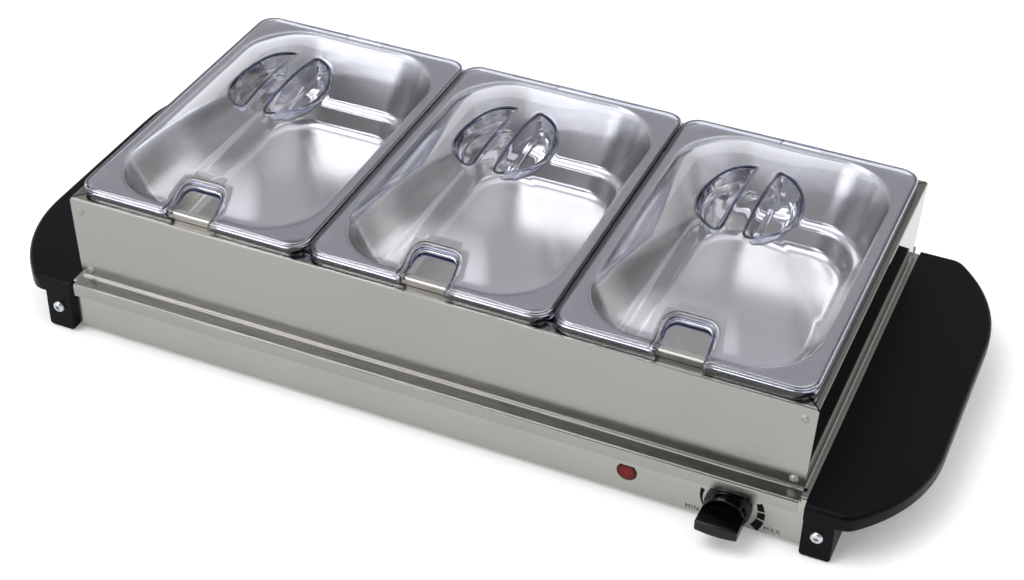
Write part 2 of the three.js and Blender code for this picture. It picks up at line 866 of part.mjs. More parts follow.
function addLamp(group) {
  const wallRear = -trayFront + sheet;
  const flangeFront = wallRear + seatGap;
  const lensFront = -trayFront - lampProud;
  const edge = lampProud / 2;
  const lens = lampPlug(lampDiameter, lensFront + edge, flangeFront + lampFlangeThickness)
    .add(lampPlug(lampDiameter - 2 * edge, lensFront, lensFront + overrun))
    .add(pinAlongY(lampFlange, lampAcross, lampHeight, flangeFront, flangeFront + lampFlangeThickness, roundFacets));
  addPiece(group, "lamp_lens", lens, materials.redLens);
  const holderFront = flangeFront + lampFlangeThickness + seatGap;
  const holder = pinAlongY(lampFlange, lampAcross, lampHeight, holderFront, holderFront + lampFlangeThickness)
    .add(pinAlongY(lampHolderDiameter, lampAcross, lampHeight, holderFront, holderFront + lampHolderLength));
  addPiece(group, "lamp_holder", holder, materials.blackPlastic);
}

// Cord inlet

function addInlet(group) {
  const outside = trayFront;
  const flangeRadius = glandFlange / 2;
  const neckRadius = glandNeck / 2;
  const boreRadius = glandBore / 2;
  const inner = outside - sheet - glandInside;
  const nose = outside + seatGap + glandFlangeThickness + glandNose;
  const clipWall = outside - sheet - seatGap;
  const gland = turnedToFront([
    [boreRadius, -nose],
    [glandTail / 2 - neckRadius / 3, -nose],
    [glandTail / 2, -outside - seatGap - glandFlangeThickness],
    [flangeRadius, -outside - seatGap - glandFlangeThickness],
    [flangeRadius, -outside - seatGap],
    [neckRadius, -outside - seatGap],
    [neckRadius, -clipWall],
    [flangeRadius - glandFlangeThickness / 2, -clipWall],
    [neckRadius, -inner],
    [boreRadius, -inner],
    [boreRadius, -nose],
  ], roundFacets);
  gland.translate(glandAcross, 0, glandHeight);
  addPiece(group, "cord_gland", gland, materials.blackPlastic);

  const bottom = apronBottom + 2 * sheet + 2 * seatGap;
  const rear = outside - terminalFromRear;
  let terminal = block(
    glandAcross - terminalLength / 2,
    glandAcross + terminalLength / 2,
    rear - terminalDepth,
    rear,
    bottom,
    bottom + terminalHeight,
  );
  const pitch = terminalLength / terminalTowers;
  for (let gap = 1; gap < terminalTowers; gap++) {
    const x = glandAcross - terminalLength / 2 + gap * pitch;
    terminal = terminal.subtract(
      block(
        x - terminalGroove / 2,
        x + terminalGroove / 2,
        rear - terminalDepth - overrun,
        rear + overrun,
        bottom + terminalHeight - terminalGrooveDepth,
        bottom + terminalHeight + overrun,
      ),
    );
  }
  addPiece(group, "terminal_block", terminal, materials.ceramic);
}

// Pan frame

// Trims a wall to the frame's leaning ends.
function leaningEnds() {
  const top = frameLength / 2;
  const slope = frameLean / frameHeight;
  const low = frameBottom - frameLip;
  const bottom = top - slope * (frameTop - low);
  const side = alongY(
    polygon([
      [-bottom, low],
      [bottom, low],
      [top, frameTop],
      [-top, frameTop],
    ]),
    frameDepth + 2 * frameFootFlange + 2 * overrun,
  );
  return side;
}

function frameRivetPlaces() {
  const slope = frameLean / frameHeight;
  return [frameTop - rivetHighDrop, frameBottom + rivetLowRise].map((z) => {
    return [frameLength / 2 - rivetInset - slope * (frameTop - z), z];
  });
}

// The front wall; the rear one is the same piece turned half round.
function makeLongWall() {
  const front = -frameDepth / 2;
  const foot = frameBottom + sheet;
  const path = [
    [front + frameTopFlange, frameTop],
    [front, frameTop],
    [front, foot],
    [front - frameFootFlange, foot],
    [front - frameFootFlange, foot - frameLip],
  ];
  let wall = alongX(foldedSheet(path, sheet), frameLength).intersect(leaningEnds());
  const corner = frameLength / 2;
  const reach = frameTopFlange + overrun;
  const mitre = riser(
    polygon([
      [corner - mitreSlot / 2, front],
      [corner + overrun, front],
      [corner + overrun, front + reach],
      [corner - mitreSlot / 2 - reach, front + reach],
    ]),
    frameTop - mitreDepth,
    frameTop + overrun,
  );
  wall = wall.subtract(mitre).subtract(mitre.mirror([1, 0, 0]));
  for (const [x, z] of frameRivetPlaces()) {
    const hole = pinAlongY(rivetShank + 2 * holeGap, x, z, front - overrun, front + overrun, fastenerFacets);
    wall = wall.subtract(hole).subtract(hole.mirror([1, 0, 0]));
  }
  return wall;
}

// The right end wall with a tab at each end that the long walls are riveted to.
function makeEndWall() {
  const top = frameLength / 2;
  const foot = frameBottom + sheet;
  const low = top - frameLean;
  const path = [
    [top - frameEndFlange, frameTop],
    [top, frameTop],
    [low, foot],
    [low + frameEndFoot, foot],
  ];
  const run = frameDepth - 2 * sheet - 2 * seatGap;
  let wall = alongY(foldedSheet(path, -sheet), run);
  const front = -frameDepth / 2;
  const reach = frameEndFlange + overrun;
  const mitre = riser(
    polygon([
      [top + overrun, front - overrun],
      [top + overrun, front - overrun + mitreSlot / 2],
      [top - reach, front + reach + mitreSlot / 2],
      [top - reach, front - overrun],
    ]),
    frameTop - mitreDepth,
    frameTop + overrun,
  );
  wall = wall.subtract(mitre).subtract(mitre.mirror([0, 1, 0]));
  const slope = frameLean / frameHeight;
  const tabTop = frameTop - cornerTabDrop;
  const tabBottom = frameBottom + cornerTabDrop;
  const edgeAt = (z) => top - slope * (frameTop - z) - sheet / 2;
  const tab = alongY(
    polygon([
      [edgeAt(tabBottom) - cornerTab, tabBottom],
      [edgeAt(tabBottom), tabBottom],
      [edgeAt(tabTop), tabTop],
      [edgeAt(tabTop) - cornerTab, tabTop],
    ]),
    sheet,
  );
  const tabY = run / 2 - sheet / 2;
  wall = wall.add(tab.translate([0, -tabY, 0])).add(tab.translate([0, tabY, 0]));
  for (const [x, z] of frameRivetPlaces()) {
    for (const face of [-1, 1]) {
      wall = wall.subtract(
        pinAlongY(rivetShank + 2 * holeGap, x, z, face * tabY - overrun, face * tabY + overrun, fastenerFacets),
      );
    }
  }
  return wall;
}

// A rivet with its head outside and its tail behind the tab, standing along Z at the wall's face.
function makeRivet() {
  const head = rivetHead / 2;
  const shank = rivetShank / 2;
  const tail = rivetTail / 2;
  const grip = 2 * sheet + 2 * seatGap;
  return turned([
    [0, -grip - rivetHeadHeight],
    [tail, -grip - rivetHeadHeight],
    [tail, -grip],
    [shank, -grip],
    [shank, 0],
    [head, 0],
    [head / 2, rivetHeadHeight],
    [0, rivetHeadHeight],
  ], fastenerFacets);
}

// Pans

// A row of the pan, set in from its opening and below its rim.
function panRow(inSide, inEnd, corner, drop) {
  return {
    halfX: panOpeningWidth / 2 - inSide,
    halfY: panOpeningLength / 2 - inEnd,
    corner,
    z: panRimTop - drop,
  };
}

function makePan() {
  const floor = panDepthBelowRim - panSheet;
  const floorRise = panFloorBend * bendShare;
  const ledgeInSide = panStepInSide + panLedgeSide;
  const ledgeInEnd = panStepInEnd + panLedgeEnd;
  const ledgeCorner = panStepCorner - panLedgeSide;
  const ledgeDrop = panStepDepth + panLedgeFall;
  const bend = panLedgeBend;
  const edge = panOpeningEdge;
  const openCorner = panOpeningCorner;
  const overhangSide = (panRimWidth - panOpeningWidth) / 2;
  const overhangEnd = (panRimLength - panOpeningLength) / 2;
  const lip = panRimEdge;
  return pressedSkin([
    panRow(panFloorInSide + panFloorBend, panFloorInEnd + panFloorBend, panFloorCorner - panFloorBend, floor),
    panRow(panFloorInSide + floorRise, panFloorInEnd + floorRise, panFloorCorner - floorRise, floor - floorRise),
    panRow(panFloorInSide, panFloorInEnd, panFloorCorner, floor - panFloorBend),
    panRow(ledgeInSide, ledgeInEnd, ledgeCorner, ledgeDrop + bend),
    panRow(ledgeInSide - bend, ledgeInEnd - bend, ledgeCorner + bend, ledgeDrop),
    panRow(panStepInSide + bend, panStepInEnd + bend, panStepCorner - bend, panStepDepth + panLedgeFall / 2),
    panRow(panStepInSide, panStepInEnd, panStepCorner, panStepDepth - bend),
    panRow(edge * bendShare, edge * bendShare, openCorner, edge),
    panRow(-edge, -edge, openCorner + edge, 0),
    panRow(lip - overhangSide, lip - overhangEnd, panRimCorner - lip, 0),
    panRow(-overhangSide, -overhangEnd, panRimCorner, lip),
    panRow(-overhangSide, -overhangEnd, panRimCorner, panRimHeight),
  ], panSheet);
}

// Lids

// A row of the dome, at a share of the way from its crown to its foot.
function domeRow(share) {
  return {
    halfX: (lidWidth / 2 - domeInset) * share,
    halfY: (lidLength / 2 - domeInset) * share,
    corner: domeCorner * share,
    z: lidTop + domeHeight * (1 - share ** domePower),
  };
}

function makeLid() {
  const halfX = lidWidth / 2;
  const halfY = lidLength / 2;
  const skirtBottom = lidTop - lidSheet - lidSkirtDrop;
  const edge = lidEdge;
  const domeRows = [...domeRingShares].reverse().map(domeRow);
  const shell = pressedSkin([
    ...domeRows,
    { halfX: halfX - edge, halfY: halfY - edge, corner: lidCorner - edge, z: lidTop },
    { halfX, halfY, corner: lidCorner, z: lidTop - edge },
    { halfX, halfY, corner: lidCorner, z: skirtBottom },
  ], lidSheet);
  // What is added inside the dome stays under its skin.
  const skinShare = 0.5;
  const under = toSolid(
    loft([
      ring(halfX - lidSheet, halfY - lidSheet, lidCorner - lidSheet, lidTop - lidSheet),
      ring(halfX - lidSheet, halfY - lidSheet, lidCorner - lidSheet, lidTop - lidSheet * skinShare),
      ...domeRows.reverse().map((row) => ring(row.halfX, row.halfY, row.corner, row.z - lidSheet * skinShare)),
    ]),
  );
  const crown = lidTop + domeHeight;
  const notch = riser(notchOutline(0), skirtBottom - overrun, crown, ringSteps);
  const collar = riser(notchOutline(notchWall), lidTop - lidSheet, crown, ringSteps).intersect(under);
  let lid = toSolid(shell).add(collar);
  const floor = crown - pocketDepth;
  for (const side of [-1, 1]) {
    lid = lid.add(pocketCup(side, lidSheet, floor - lidSheet).intersect(under));
  }
  for (const side of [-1, 1]) {
    lid = lid.subtract(pocketCup(side, 0, floor));
  }
  return lid.subtract(notch);
}

// The spoon notch, open at the front edge and narrower at the back.
function notchOutline(extra) {
  const front = -lidLength / 2 - overrun;
  const back = -lidLength / 2 + notchReach + extra;
  const slant = (notchFront - notchBack) / 2 / notchReach;
  const frontHalf = notchFront / 2 + extra + slant * overrun;
  const backHalf = notchBack / 2 + extra;
  const corner = notchCorner + extra;
  const shape = new THREE.Shape();
  shape.moveTo(-frontHalf, front);
  shape.lineTo(frontHalf, front);
  shape.lineTo(backHalf + slant * corner, back - corner);
  shape.quadraticCurveTo(backHalf, back, backHalf - corner, back);
  shape.lineTo(corner - backHalf, back);
  shape.quadraticCurveTo(-backHalf, back, -backHalf - slant * corner, back - corner);
  shape.closePath();
  return shape;
}

// One half-round finger pocket beside the grip bar, drafted from the crown to its floor.
function pocketCup(side, wall, floor) {
  const top = lidTop + domeHeight + overrun;
  const depth = top - floor;
  const level = (inset, z) => {
    const halfX = pocketWidth + wall - inset;
    const halfY = pocketLength + wall - inset;
    const bar = pocketBar - wall + inset;
    const start = Math.acos(bar / halfX);
    const points = [];
    for (let step = 0; step <= pocketFacets; step++) {
      const angle = -start + (2 * start * step) / pocketFacets;
      points.push([side * halfX * Math.cos(angle), halfY * Math.sin(angle), z]);
    }
    if (side < 0) points.reverse();
    return points;
  };
  const roundShare = 0.35;
  const cornerInset = pocketDraft + pocketCorner;
  const geometry = loftAbout(
    [
      level(cornerInset, floor),
      level(pocketDraft + pocketCorner * roundShare, floor + pocketCorner * roundShare),
      level(pocketDraft * (1 - pocketCorner / depth), floor + pocketCorner),
      level(0, top),
    ],
    side * pocketWidth * roundShare,
  );
  return toSolid(geometry);
}

// A loft whose end caps fan out from a point off the axis.
function loftAbout(rings, x) {
  const moved = rings.map((points) => points.map(([px, py, pz]) => [px - x, py, pz]));
  const geometry = loft(moved);
  geometry.translate(x, 0, 0);
  return geometry;
}

// Assembly

const warmer = new THREE.Group();
const names = ["left", "middle", "right"];
const ends = [
  ["left", Math.PI, -1],
  ["right", 0, 1],
];

const tray = new THREE.Group();
warmer.add(tray);
addPiece(tray, "tray_shell", makeTrayShell(), materials.brushedSteel);
addPiece(tray, "bottom_cover", makeBottomCover(), materials.galvanised);
for (const [name, turn] of ends) {
  addPiece(tray, `handle_${name}`, makeHandle(), materials.blackPlastic, 0, 0, 0, turn);
}
const legX = (legInner + legOuter) / 2;
for (const [face, sign] of [["front", -1], ["rear", 1]]) {
  for (const [name, , side] of ends) {
    const padY = sign * (handleFront - legDepth / 2);
    addPiece(tray, `foot_pad_${face}_${name}`, padShape(0, 0, padThickness), materials.rubber, side * legX, padY, 0);
    const screw = makeScrew(legScrewHead, legScrewHeadHeight, legScrewShank, legScrewLength);
    const mesh = addPiece(tray, `leg_screw_${face}_${name}`, screw, materials.zinc, side * legX, 0, legScrewHeight);
    mesh.position.y = sign * (handleFront + seatGap);
    mesh.rotation.x = (-sign * Math.PI) / 2;
  }
}
coverScrewPlaces().forEach(([x, y], index) => {
  const screw = makeScrew(coverScrewHead, coverScrewHeadHeight, coverScrewShank, coverScrewLength);
  const mesh = addPiece(tray, `cover_screw_${index + 1}`, screw, materials.zinc, x, y, apronBottom - seatGap);
  mesh.rotation.x = Math.PI;
});
addHeater(tray);
const shaftRear = addThermostat(tray);
addLamp(tray);
addInlet(tray);

// The dial group turns about its own Y axis, at the panel.
const dial = new THREE.Group();
dial.position.set(knobAcross, 0, knobHeight);
tray.add(dial);
addPiece(dial, "knob", makeKnob(0), materials.knobPlastic, 0, -trayFront, 0);
addPiece(dial, "thermostat_shaft", makeShaft(-shaftRear, trayFront + shaftInKnob - seatGap), materials.brass);

const frame = new THREE.Group();
warmer.add(frame);
addPiece(frame, "frame_front_wall", makeLongWall(), materials.brushedSteel);
addPiece(frame, "frame_rear_wall", makeLongWall(), materials.brushedSteel, 0, 0, 0, Math.PI);
for (const [name, turn] of ends) {
  addPiece(frame, `frame_end_${name}`, makeEndWall(), materials.brushedSteel, 0, 0, 0, turn);
}
for (const [face, sign] of [["front", -1], ["rear", 1]]) {
  for (const [name, , side] of ends) {
    frameRivetPlaces().forEach(([x, z], index) => {
      const level = index ? "low" : "high";
      const mesh = addPiece(frame, `rivet_${face}_${name}_${level}`, makeRivet(), materials.brushedSteel, side * x, 0, z);
      mesh.position.y = (sign * frameDepth) / 2;
      mesh.rotation.x = (-sign * Math.PI) / 2;
    });
  }
}

names.slice(0, panCount).forEach((name, index) => {
  const x = (index - (panCount - 1) / 2) * panPitch;
  addPiece(frame, `pan_${name}`, makePan(), materials.panSteel, x);
  addPiece(frame, `lid_${name}`, makeLid(), materials.clearPlastic, x);
});

export default warmer;
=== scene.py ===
import math

import bmesh
import bpy
from mathutils import Matrix, Vector
from mathutils.geometry import delaunay_2d_cdt


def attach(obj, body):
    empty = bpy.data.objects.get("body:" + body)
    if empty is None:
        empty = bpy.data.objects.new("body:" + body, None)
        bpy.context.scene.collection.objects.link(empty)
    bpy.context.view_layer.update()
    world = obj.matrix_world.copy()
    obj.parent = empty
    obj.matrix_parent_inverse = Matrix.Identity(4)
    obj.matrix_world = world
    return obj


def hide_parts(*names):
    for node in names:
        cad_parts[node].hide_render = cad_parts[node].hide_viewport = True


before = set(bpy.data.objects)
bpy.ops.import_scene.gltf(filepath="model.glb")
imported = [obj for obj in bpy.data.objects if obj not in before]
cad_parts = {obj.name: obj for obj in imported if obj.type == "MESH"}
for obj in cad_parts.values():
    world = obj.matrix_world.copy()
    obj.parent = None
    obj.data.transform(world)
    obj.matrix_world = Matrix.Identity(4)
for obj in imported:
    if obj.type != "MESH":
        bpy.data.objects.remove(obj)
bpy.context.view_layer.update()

print("frame loaded:", len(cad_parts), "nodes")


# small helpers

def mm(value):
    return value / 1000


def noSelection():
    if bpy.context.mode != "OBJECT":
        bpy.ops.object.mode_set(mode="OBJECT")
    bpy.ops.object.select_all(action="DESELECT")


def onlyThis(obj):
    noSelection()
    obj.select_set(True)
    bpy.context.view_layer.objects.active = obj


def editMesh(obj):
    onlyThis(obj)
    bpy.ops.object.mode_set(mode="EDIT")


def endEdit():
    bpy.ops.object.mode_set(mode="OBJECT")


def pick(obj, kind, test):
    # selects the vertices, edges or faces whose middle (in mm) and normal pass the test
    bpy.ops.mesh.select_mode(type=kind)
    bpy.ops.mesh.select_all(action="DESELECT")
    mesh = bmesh.from_edit_mesh(obj.data)
    mesh.normal_update()
    items = {"VERT": mesh.verts, "EDGE": mesh.edges, "FACE": mesh.faces}[kind]
    for item in items:
        if kind == "VERT":
            middle = item.co * 1000
        elif kind == "EDGE":
            middle = (item.verts[0].co + item.verts[1].co) * 500
        else:
            middle = item.calc_center_median() * 1000
        if test(middle, item):
            item.select = True
    mesh.select_flush_mode()
    bmesh.update_edit_mesh(obj.data)


def extrudeBy(x, y, z):
    bpy.ops.mesh.extrude_region_move(TRANSFORM_OT_translate={"value": (mm(x), mm(y), mm(z))})


def resizeBy(x, y):
    bpy.ops.transform.resize(value=(x, y, 1), center_override=(0, 0, 0))


def selectAllFaces():
    bpy.ops.mesh.select_mode(type="FACE")
    bpy.ops.mesh.select_all(action="SELECT")


def faceOutwards():
    bpy.ops.mesh.select_all(action="SELECT")
    bpy.ops.mesh.normals_make_consistent(inside=False)


def bevelPicked(width, segments):
    bpy.ops.mesh.bevel(offset=mm(width), segments=segments, affect="EDGES", clamp_overlap=True)


def addModifier(obj, kind, **settings):
    onlyThis(obj)
    modifier = obj.modifiers.new(kind.title(), kind)
    for key, value in settings.items():
        setattr(modifier, key, value)
    bpy.ops.object.modifier_apply(modifier=modifier.name)


def smoothBy(obj, degrees):
    onlyThis(obj)
    bpy.ops.object.shade_smooth_by_angle(angle=math.radians(degrees))


def applyPlace(obj):
    onlyThis(obj)
    bpy.ops.object.transform_apply(location=True, rotation=True, scale=True)


def meshFrom(name, points, faces):
    data = bpy.data.meshes.new(name)
    data.from_pydata([(mm(p[0]), mm(p[1]), mm(p[2])) for p in points], [], faces)
    data.update()
    obj = bpy.data.objects.new(name, data)
    bpy.context.scene.collection.objects.link(obj)
    return obj


def copyPiece(source, name, matrix):
    data = source.data.copy()
    data.transform(matrix)
    data.name = name
    obj = bpy.data.objects.new(name, data)
    bpy.context.scene.collection.objects.link(obj)
    return obj


def shift(x, y=0, z=0):
    return Matrix.Translation((mm(x), mm(y), mm(z)))


def giveMaterial(obj, material):
    obj.data.materials.clear()
    obj.data.materials.append(material)


def cut(obj, cutter, operation="DIFFERENCE"):
    addModifier(obj, "BOOLEAN", object=cutter, operation=operation, solver="EXACT")
    bpy.data.objects.remove(cutter)


def roundedPlane(name, sizeX, sizeY, corner, z, segments):
    noSelection()
    bpy.ops.mesh.primitive_plane_add(size=1, location=(0, 0, 0))
    obj = bpy.context.object
    obj.name = name
    obj.data.name = name
    editMesh(obj)
    bpy.ops.mesh.select_all(action="SELECT")
    resizeBy(mm(sizeX), mm(sizeY))
    bpy.ops.transform.translate(value=(0, 0, mm(z)))
    bpy.ops.mesh.bevel(offset=mm(corner), segments=segments, affect="VERTICES", clamp_overlap=False)
    endEdit()
    return obj


# material tools

def hexColour(text):
    # sRGB hex to the linear values that Blender works in
    values = []
    for start in (0, 2, 4):
        share = int(text[start:start + 2], 16) / 255
        values.append(share / 12.92 if share <= 0.04045 else ((share + 0.055) / 1.055) ** 2.4)
    return (*values, 1)


def addNode(tree, kind, values=None, links=None, **settings):
    node = tree.nodes.new(kind)
    for key, value in settings.items():
        setattr(node, key, value)
    for key, value in (values or {}).items():
        node.inputs[key].default_value = value
    for key, source in (links or {}).items():
        tree.links.new(source, node.inputs[key])
    return node


def newMaterial(name):
    material = bpy.data.materials.new(name)
    material.use_nodes = True
    tree = material.node_tree
    tree.nodes.clear()
    output = addNode(tree, "ShaderNodeOutputMaterial")
    return material, tree, output


def rampColours(node, stops):
    ramp = node.color_ramp
    while len(ramp.elements) < len(stops):
        ramp.elements.new(0.5)
    for element, (place, colour) in zip(ramp.elements, stops):
        element.position = place
        element.color = colour


def brushedStainless(name, colour, roughness, lineAlong, grain=0.25, lineLength=45, relief=0.04):
    # 304 stainless sheet, brushed: fine parallel scratches that spread highlights across themselves
    material, tree, output = newMaterial(name)
    coord = addNode(tree, "ShaderNodeTexCoord")
    fine = 1000 / grain
    along = 1000 / lineLength
    scale = {"x": (along, fine, fine), "y": (fine, along, fine), "z": (fine, fine, along)}[lineAlong]
    mapping = addNode(tree, "ShaderNodeMapping", {"Scale": scale}, {"Vector": coord.outputs["Object"]})
    lines = addNode(tree, "ShaderNodeTexNoise", {"Scale": 1, "Detail": 3, "Roughness": 0.6},
                    {"Vector": mapping.outputs["Vector"]})
    patches = addNode(tree, "ShaderNodeTexNoise", {"Scale": 1000 / 90, "Detail": 2},
                      {"Vector": coord.outputs["Object"]})
    rough = addNode(tree, "ShaderNodeMapRange",
                    {"From Min": 0.3, "From Max": 0.7, "To Min": roughness * 0.85, "To Max": roughness * 1.2},
                    {"Value": lines.outputs["Fac"]})
    tint = addNode(tree, "ShaderNodeValToRGB", None, {"Fac": patches.outputs["Fac"]})
    red, green, blue, _ = hexColour(colour)
    duller = (red * 0.96, green * 0.96, blue * 0.96, 1)
    rampColours(tint, [(0.35, duller), (0.65, hexColour(colour))])
    bump = addNode(tree, "ShaderNodeBump", {"Strength": relief, "Distance": mm(0.04)},
                   {"Height": lines.outputs["Fac"]})
    shader = addNode(tree, "ShaderNodeBsdfPrincipled", {"Metallic": 1},
                     {"Base Color": tint.outputs["Color"], "Roughness": rough.outputs["Result"],
                      "Normal": bump.outputs["Normal"]})
    tree.links.new(shader.outputs["BSDF"], output.inputs["Surface"])
    return material


def pressedStainless(name, colour, roughness):
    # deep-drawn stainless: near mirror, with the faint waves and fine scuffs that drawing leaves
    material, tree, output = newMaterial(name)
    coord = addNode(tree, "ShaderNodeTexCoord")
    waves = addNode(tree, "ShaderNodeTexNoise", {"Scale": 1000 / 60, "Detail": 1},
                    {"Vector": coord.outputs["Object"]})
    stretch = addNode(tree, "ShaderNodeMapping", {"Scale": (1000 / 0.4, 1000 / 14, 1000 / 0.4)},
                      {"Vector": coord.outputs["Object"]})
    scuffs = addNode(tree, "ShaderNodeTexNoise", {"Scale": 1, "Detail": 2},
                     {"Vector": stretch.outputs["Vector"]})
    rough = addNode(tree, "ShaderNodeMapRange",
                    {"From Min": 0.3, "From Max": 0.7, "To Min": roughness * 0.94, "To Max": roughness * 1.07},
                    {"Value": scuffs.outputs["Fac"]})
    bumpWide = addNode(tree, "ShaderNodeBump", {"Strength": 0.25, "Distance": mm(0.6)},
                       {"Height": waves.outputs["Fac"]})
    bumpFine = addNode(tree, "ShaderNodeBump", {"Strength": 0.03, "Distance": mm(0.01)},
                       {"Height": scuffs.outputs["Fac"], "Normal": bumpWide.outputs["Normal"]})
    shader = addNode(tree, "ShaderNodeBsdfPrincipled",
                     {"Metallic": 1, "Base Color": hexColour(colour)},
                     {"Roughness": rough.outputs["Result"], "Normal": bumpFine.outputs["Normal"]})
    tree.links.new(shader.outputs["BSDF"], output.inputs["Surface"])
    return material


def mouldedPlastic(name, colour, roughness, grainSize, grainDepth, sheen=0.5):
    # moulded plastic: a fine spark-eroded grain breaks up a satin sheen
    material, tree, output = newMaterial(name)
    coord = addNode(tree, "ShaderNodeTexCoord")
    grain = addNode(tree, "ShaderNodeTexNoise", {"Scale": 1000 / grainSize, "Detail": 3},
                    {"Vector": coord.outputs["Object"]})
    handling = addNode(tree, "ShaderNodeTexNoise", {"Scale": 1000 / 45, "Detail": 3},
                       {"Vector": coord.outputs["Object"]})
    rough = addNode(tree, "ShaderNodeMapRange",
                    {"From Min": 0.3, "From Max": 0.7, "To Min": roughness * 0.88, "To Max": roughness * 1.15},
                    {"Value": handling.outputs["Fac"]})
    bump = addNode(tree, "ShaderNodeBump", {"Strength": 0.3, "Distance": mm(grainDepth)},
                   {"Height": grain.outputs["Fac"]})
    shader = addNode(tree, "ShaderNodeBsdfPrincipled",
                     {"Base Color": hexColour(colour), "IOR": 1.5, "Specular IOR Level": sheen},
                     {"Roughness": rough.outputs["Result"], "Normal": bump.outputs["Normal"]})
    tree.links.new(shader.outputs["BSDF"], output.inputs["Surface"])
    return material


def clearPolycarbonate(name, colour):
    # injection-moulded polycarbonate: clear, with a faint violet cast where it is seen edge on
    material, tree, output = newMaterial(name)
    coord = addNode(tree, "ShaderNodeTexCoord")
    flow = addNode(tree, "ShaderNodeTexNoise", {"Scale": 1000 / 35, "Detail": 1},
                   {"Vector": coord.outputs["Object"]})
    bump = addNode(tree, "ShaderNodeBump", {"Strength": 0.06, "Distance": mm(0.2)},
                   {"Height": flow.outputs["Fac"]})
    shader = addNode(tree, "ShaderNodeBsdfPrincipled",
                     {"Base Color": hexColour(colour), "Roughness": 0.015, "IOR": 1.585, "Transmission Weight": 1},
                     {"Normal": bump.outputs["Normal"]})
    passing = addNode(tree, "ShaderNodeBsdfTransparent", {"Color": hexColour("f0f0f4")})
    path = addNode(tree, "ShaderNodeLightPath")
    mix = addNode(tree, "ShaderNodeMixShader", None,
                  {0: path.outputs["Is Shadow Ray"], 1: shader.outputs["BSDF"], 2: passing.outputs["BSDF"]})
    tree.links.new(mix.outputs["Shader"], output.inputs["Surface"])
    depth = addNode(tree, "ShaderNodeVolumeAbsorption", {"Color": (0.48, 0.54, 0.86, 1), "Density": 100})
    tree.links.new(depth.outputs["Volume"], output.inputs["Volume"])
    return material


def redLens(name, x, z, radius):
    # red acrylic over a neon lamp that is off: painted shade darkens it towards its rim, and its middle is left
    # lighter
    material, tree, output = newMaterial(name)
    coord = addNode(tree, "ShaderNodeTexCoord")
    centred = addNode(tree, "ShaderNodeMapping", {"Location": (-mm(x), 0, -mm(z))},
                      {"Vector": coord.outputs["Object"]})
    flat = addNode(tree, "ShaderNodeVectorMath", {1: (1, 0, 1)}, {0: centred.outputs["Vector"]},
                   operation="MULTIPLY")
    away = addNode(tree, "ShaderNodeVectorMath", None, {0: flat.outputs["Vector"]}, operation="LENGTH")
    share = addNode(tree, "ShaderNodeMapRange", {"From Min": 0, "From Max": mm(radius)},
                    {"Value": away.outputs["Value"]})
    ramp = addNode(tree, "ShaderNodeValToRGB", None, {"Fac": share.outputs["Result"]})
    # the dark outer stops are painted shade at the lens's rim
    rampColours(ramp, [(0.0, hexColour("7e1613")), (0.72, hexColour("640d0b")), (0.93, hexColour("1c0403"))])
    shader = addNode(tree, "ShaderNodeBsdfPrincipled",
                     {"Roughness": 0.22, "IOR": 1.49, "Specular IOR Level": 0.2},
                     {"Base Color": ramp.outputs["Color"]})
    tree.links.new(shader.outputs["BSDF"], output.inputs["Surface"])
    return material


traySteel = brushedStainless("brushed stainless, bright", "a9a8a3", 0.15, "x", relief=1)
wallSteel = brushedStainless("brushed stainless, satin", "9d9c98", 0.17, "x", relief=1)
endSteel = brushedStainless("brushed stainless, grain along the depth", "868580", 0.05, "y", relief=0.02)
panSteel = pressedStainless("deep-drawn stainless", "cac8c3", 0.2)
galvanised = brushedStainless("galvanised steel", "9a9c9b", 0.5, "x", 1.5, 8)
zincPlate = brushedStainless("zinc plate", "c9cdd0", 0.28, "x", 0.6, 3)
brass = brushedStainless("turned brass", "b59a54", 0.3, "x", 0.5, 4)
blackPlastic = mouldedPlastic("satin black polypropylene", "08080c", 0.34, 0.9, 0.03, 0.08)
knobPlastic = mouldedPlastic("glossy black ABS", "050506", 0.12, 1.4, 0.01, 0.26)
darkRubber = mouldedPlastic("moulded rubber", "1d1d1e", 0.75, 0.7, 0.05)
clearPlastic = clearPolycarbonate("clear polycarbonate", "fdfdfe")
# a near-black copy of the clear plastic: painted shade for the dark gap under the lid's front edge
paintedShadeEdge = clearPolycarbonate("clear polycarbonate, painted shade line", "0b0b0d")
clearRim = clearPolycarbonate("clear polycarbonate, thick rim", "474f86")
rivetSteel = brushedStainless("set rivet head", "a5a39d", 0.55, "z", 1.2, 3)
micaBoard = mouldedPlastic("mica board", "a58f6e", 0.55, 2.5, 0.08)
glassWool = mouldedPlastic("glass-fibre wool", "d8d2c2", 0.95, 1.6, 0.6)
paleUrea = mouldedPlastic("pale urea moulding", "d9d4c8", 0.5, 0.8, 0.02)
inkBlack = mouldedPlastic("screen-printed black ink", "060607", 0.5, 0.5, 0.005, 0.1)
print("materials made")


# pans

pan = {"openX": 152, "openY": 242, "openCorner": 45, "rimX": 167.4, "rimY": 253.8, "rimCorner": 11,
       "top": 114.3, "rimDrop": 5.5, "sheet": 1, "stepZ": 69.3, "ledgeZ": 67.3, "floorZ": 50.3,
       "stepX": 63, "stepY": 105.6, "ledgeX": 58.4, "ledgeY": 100.6, "floorX": 54.5, "floorY": 95,
       "mouthRound": 2.6, "rimRound": 1.5, "stepRound": 2.2, "ledgeRound": 1.8, "floorRound": 5.5,
       "segments": 14, "pitch": 173.6}


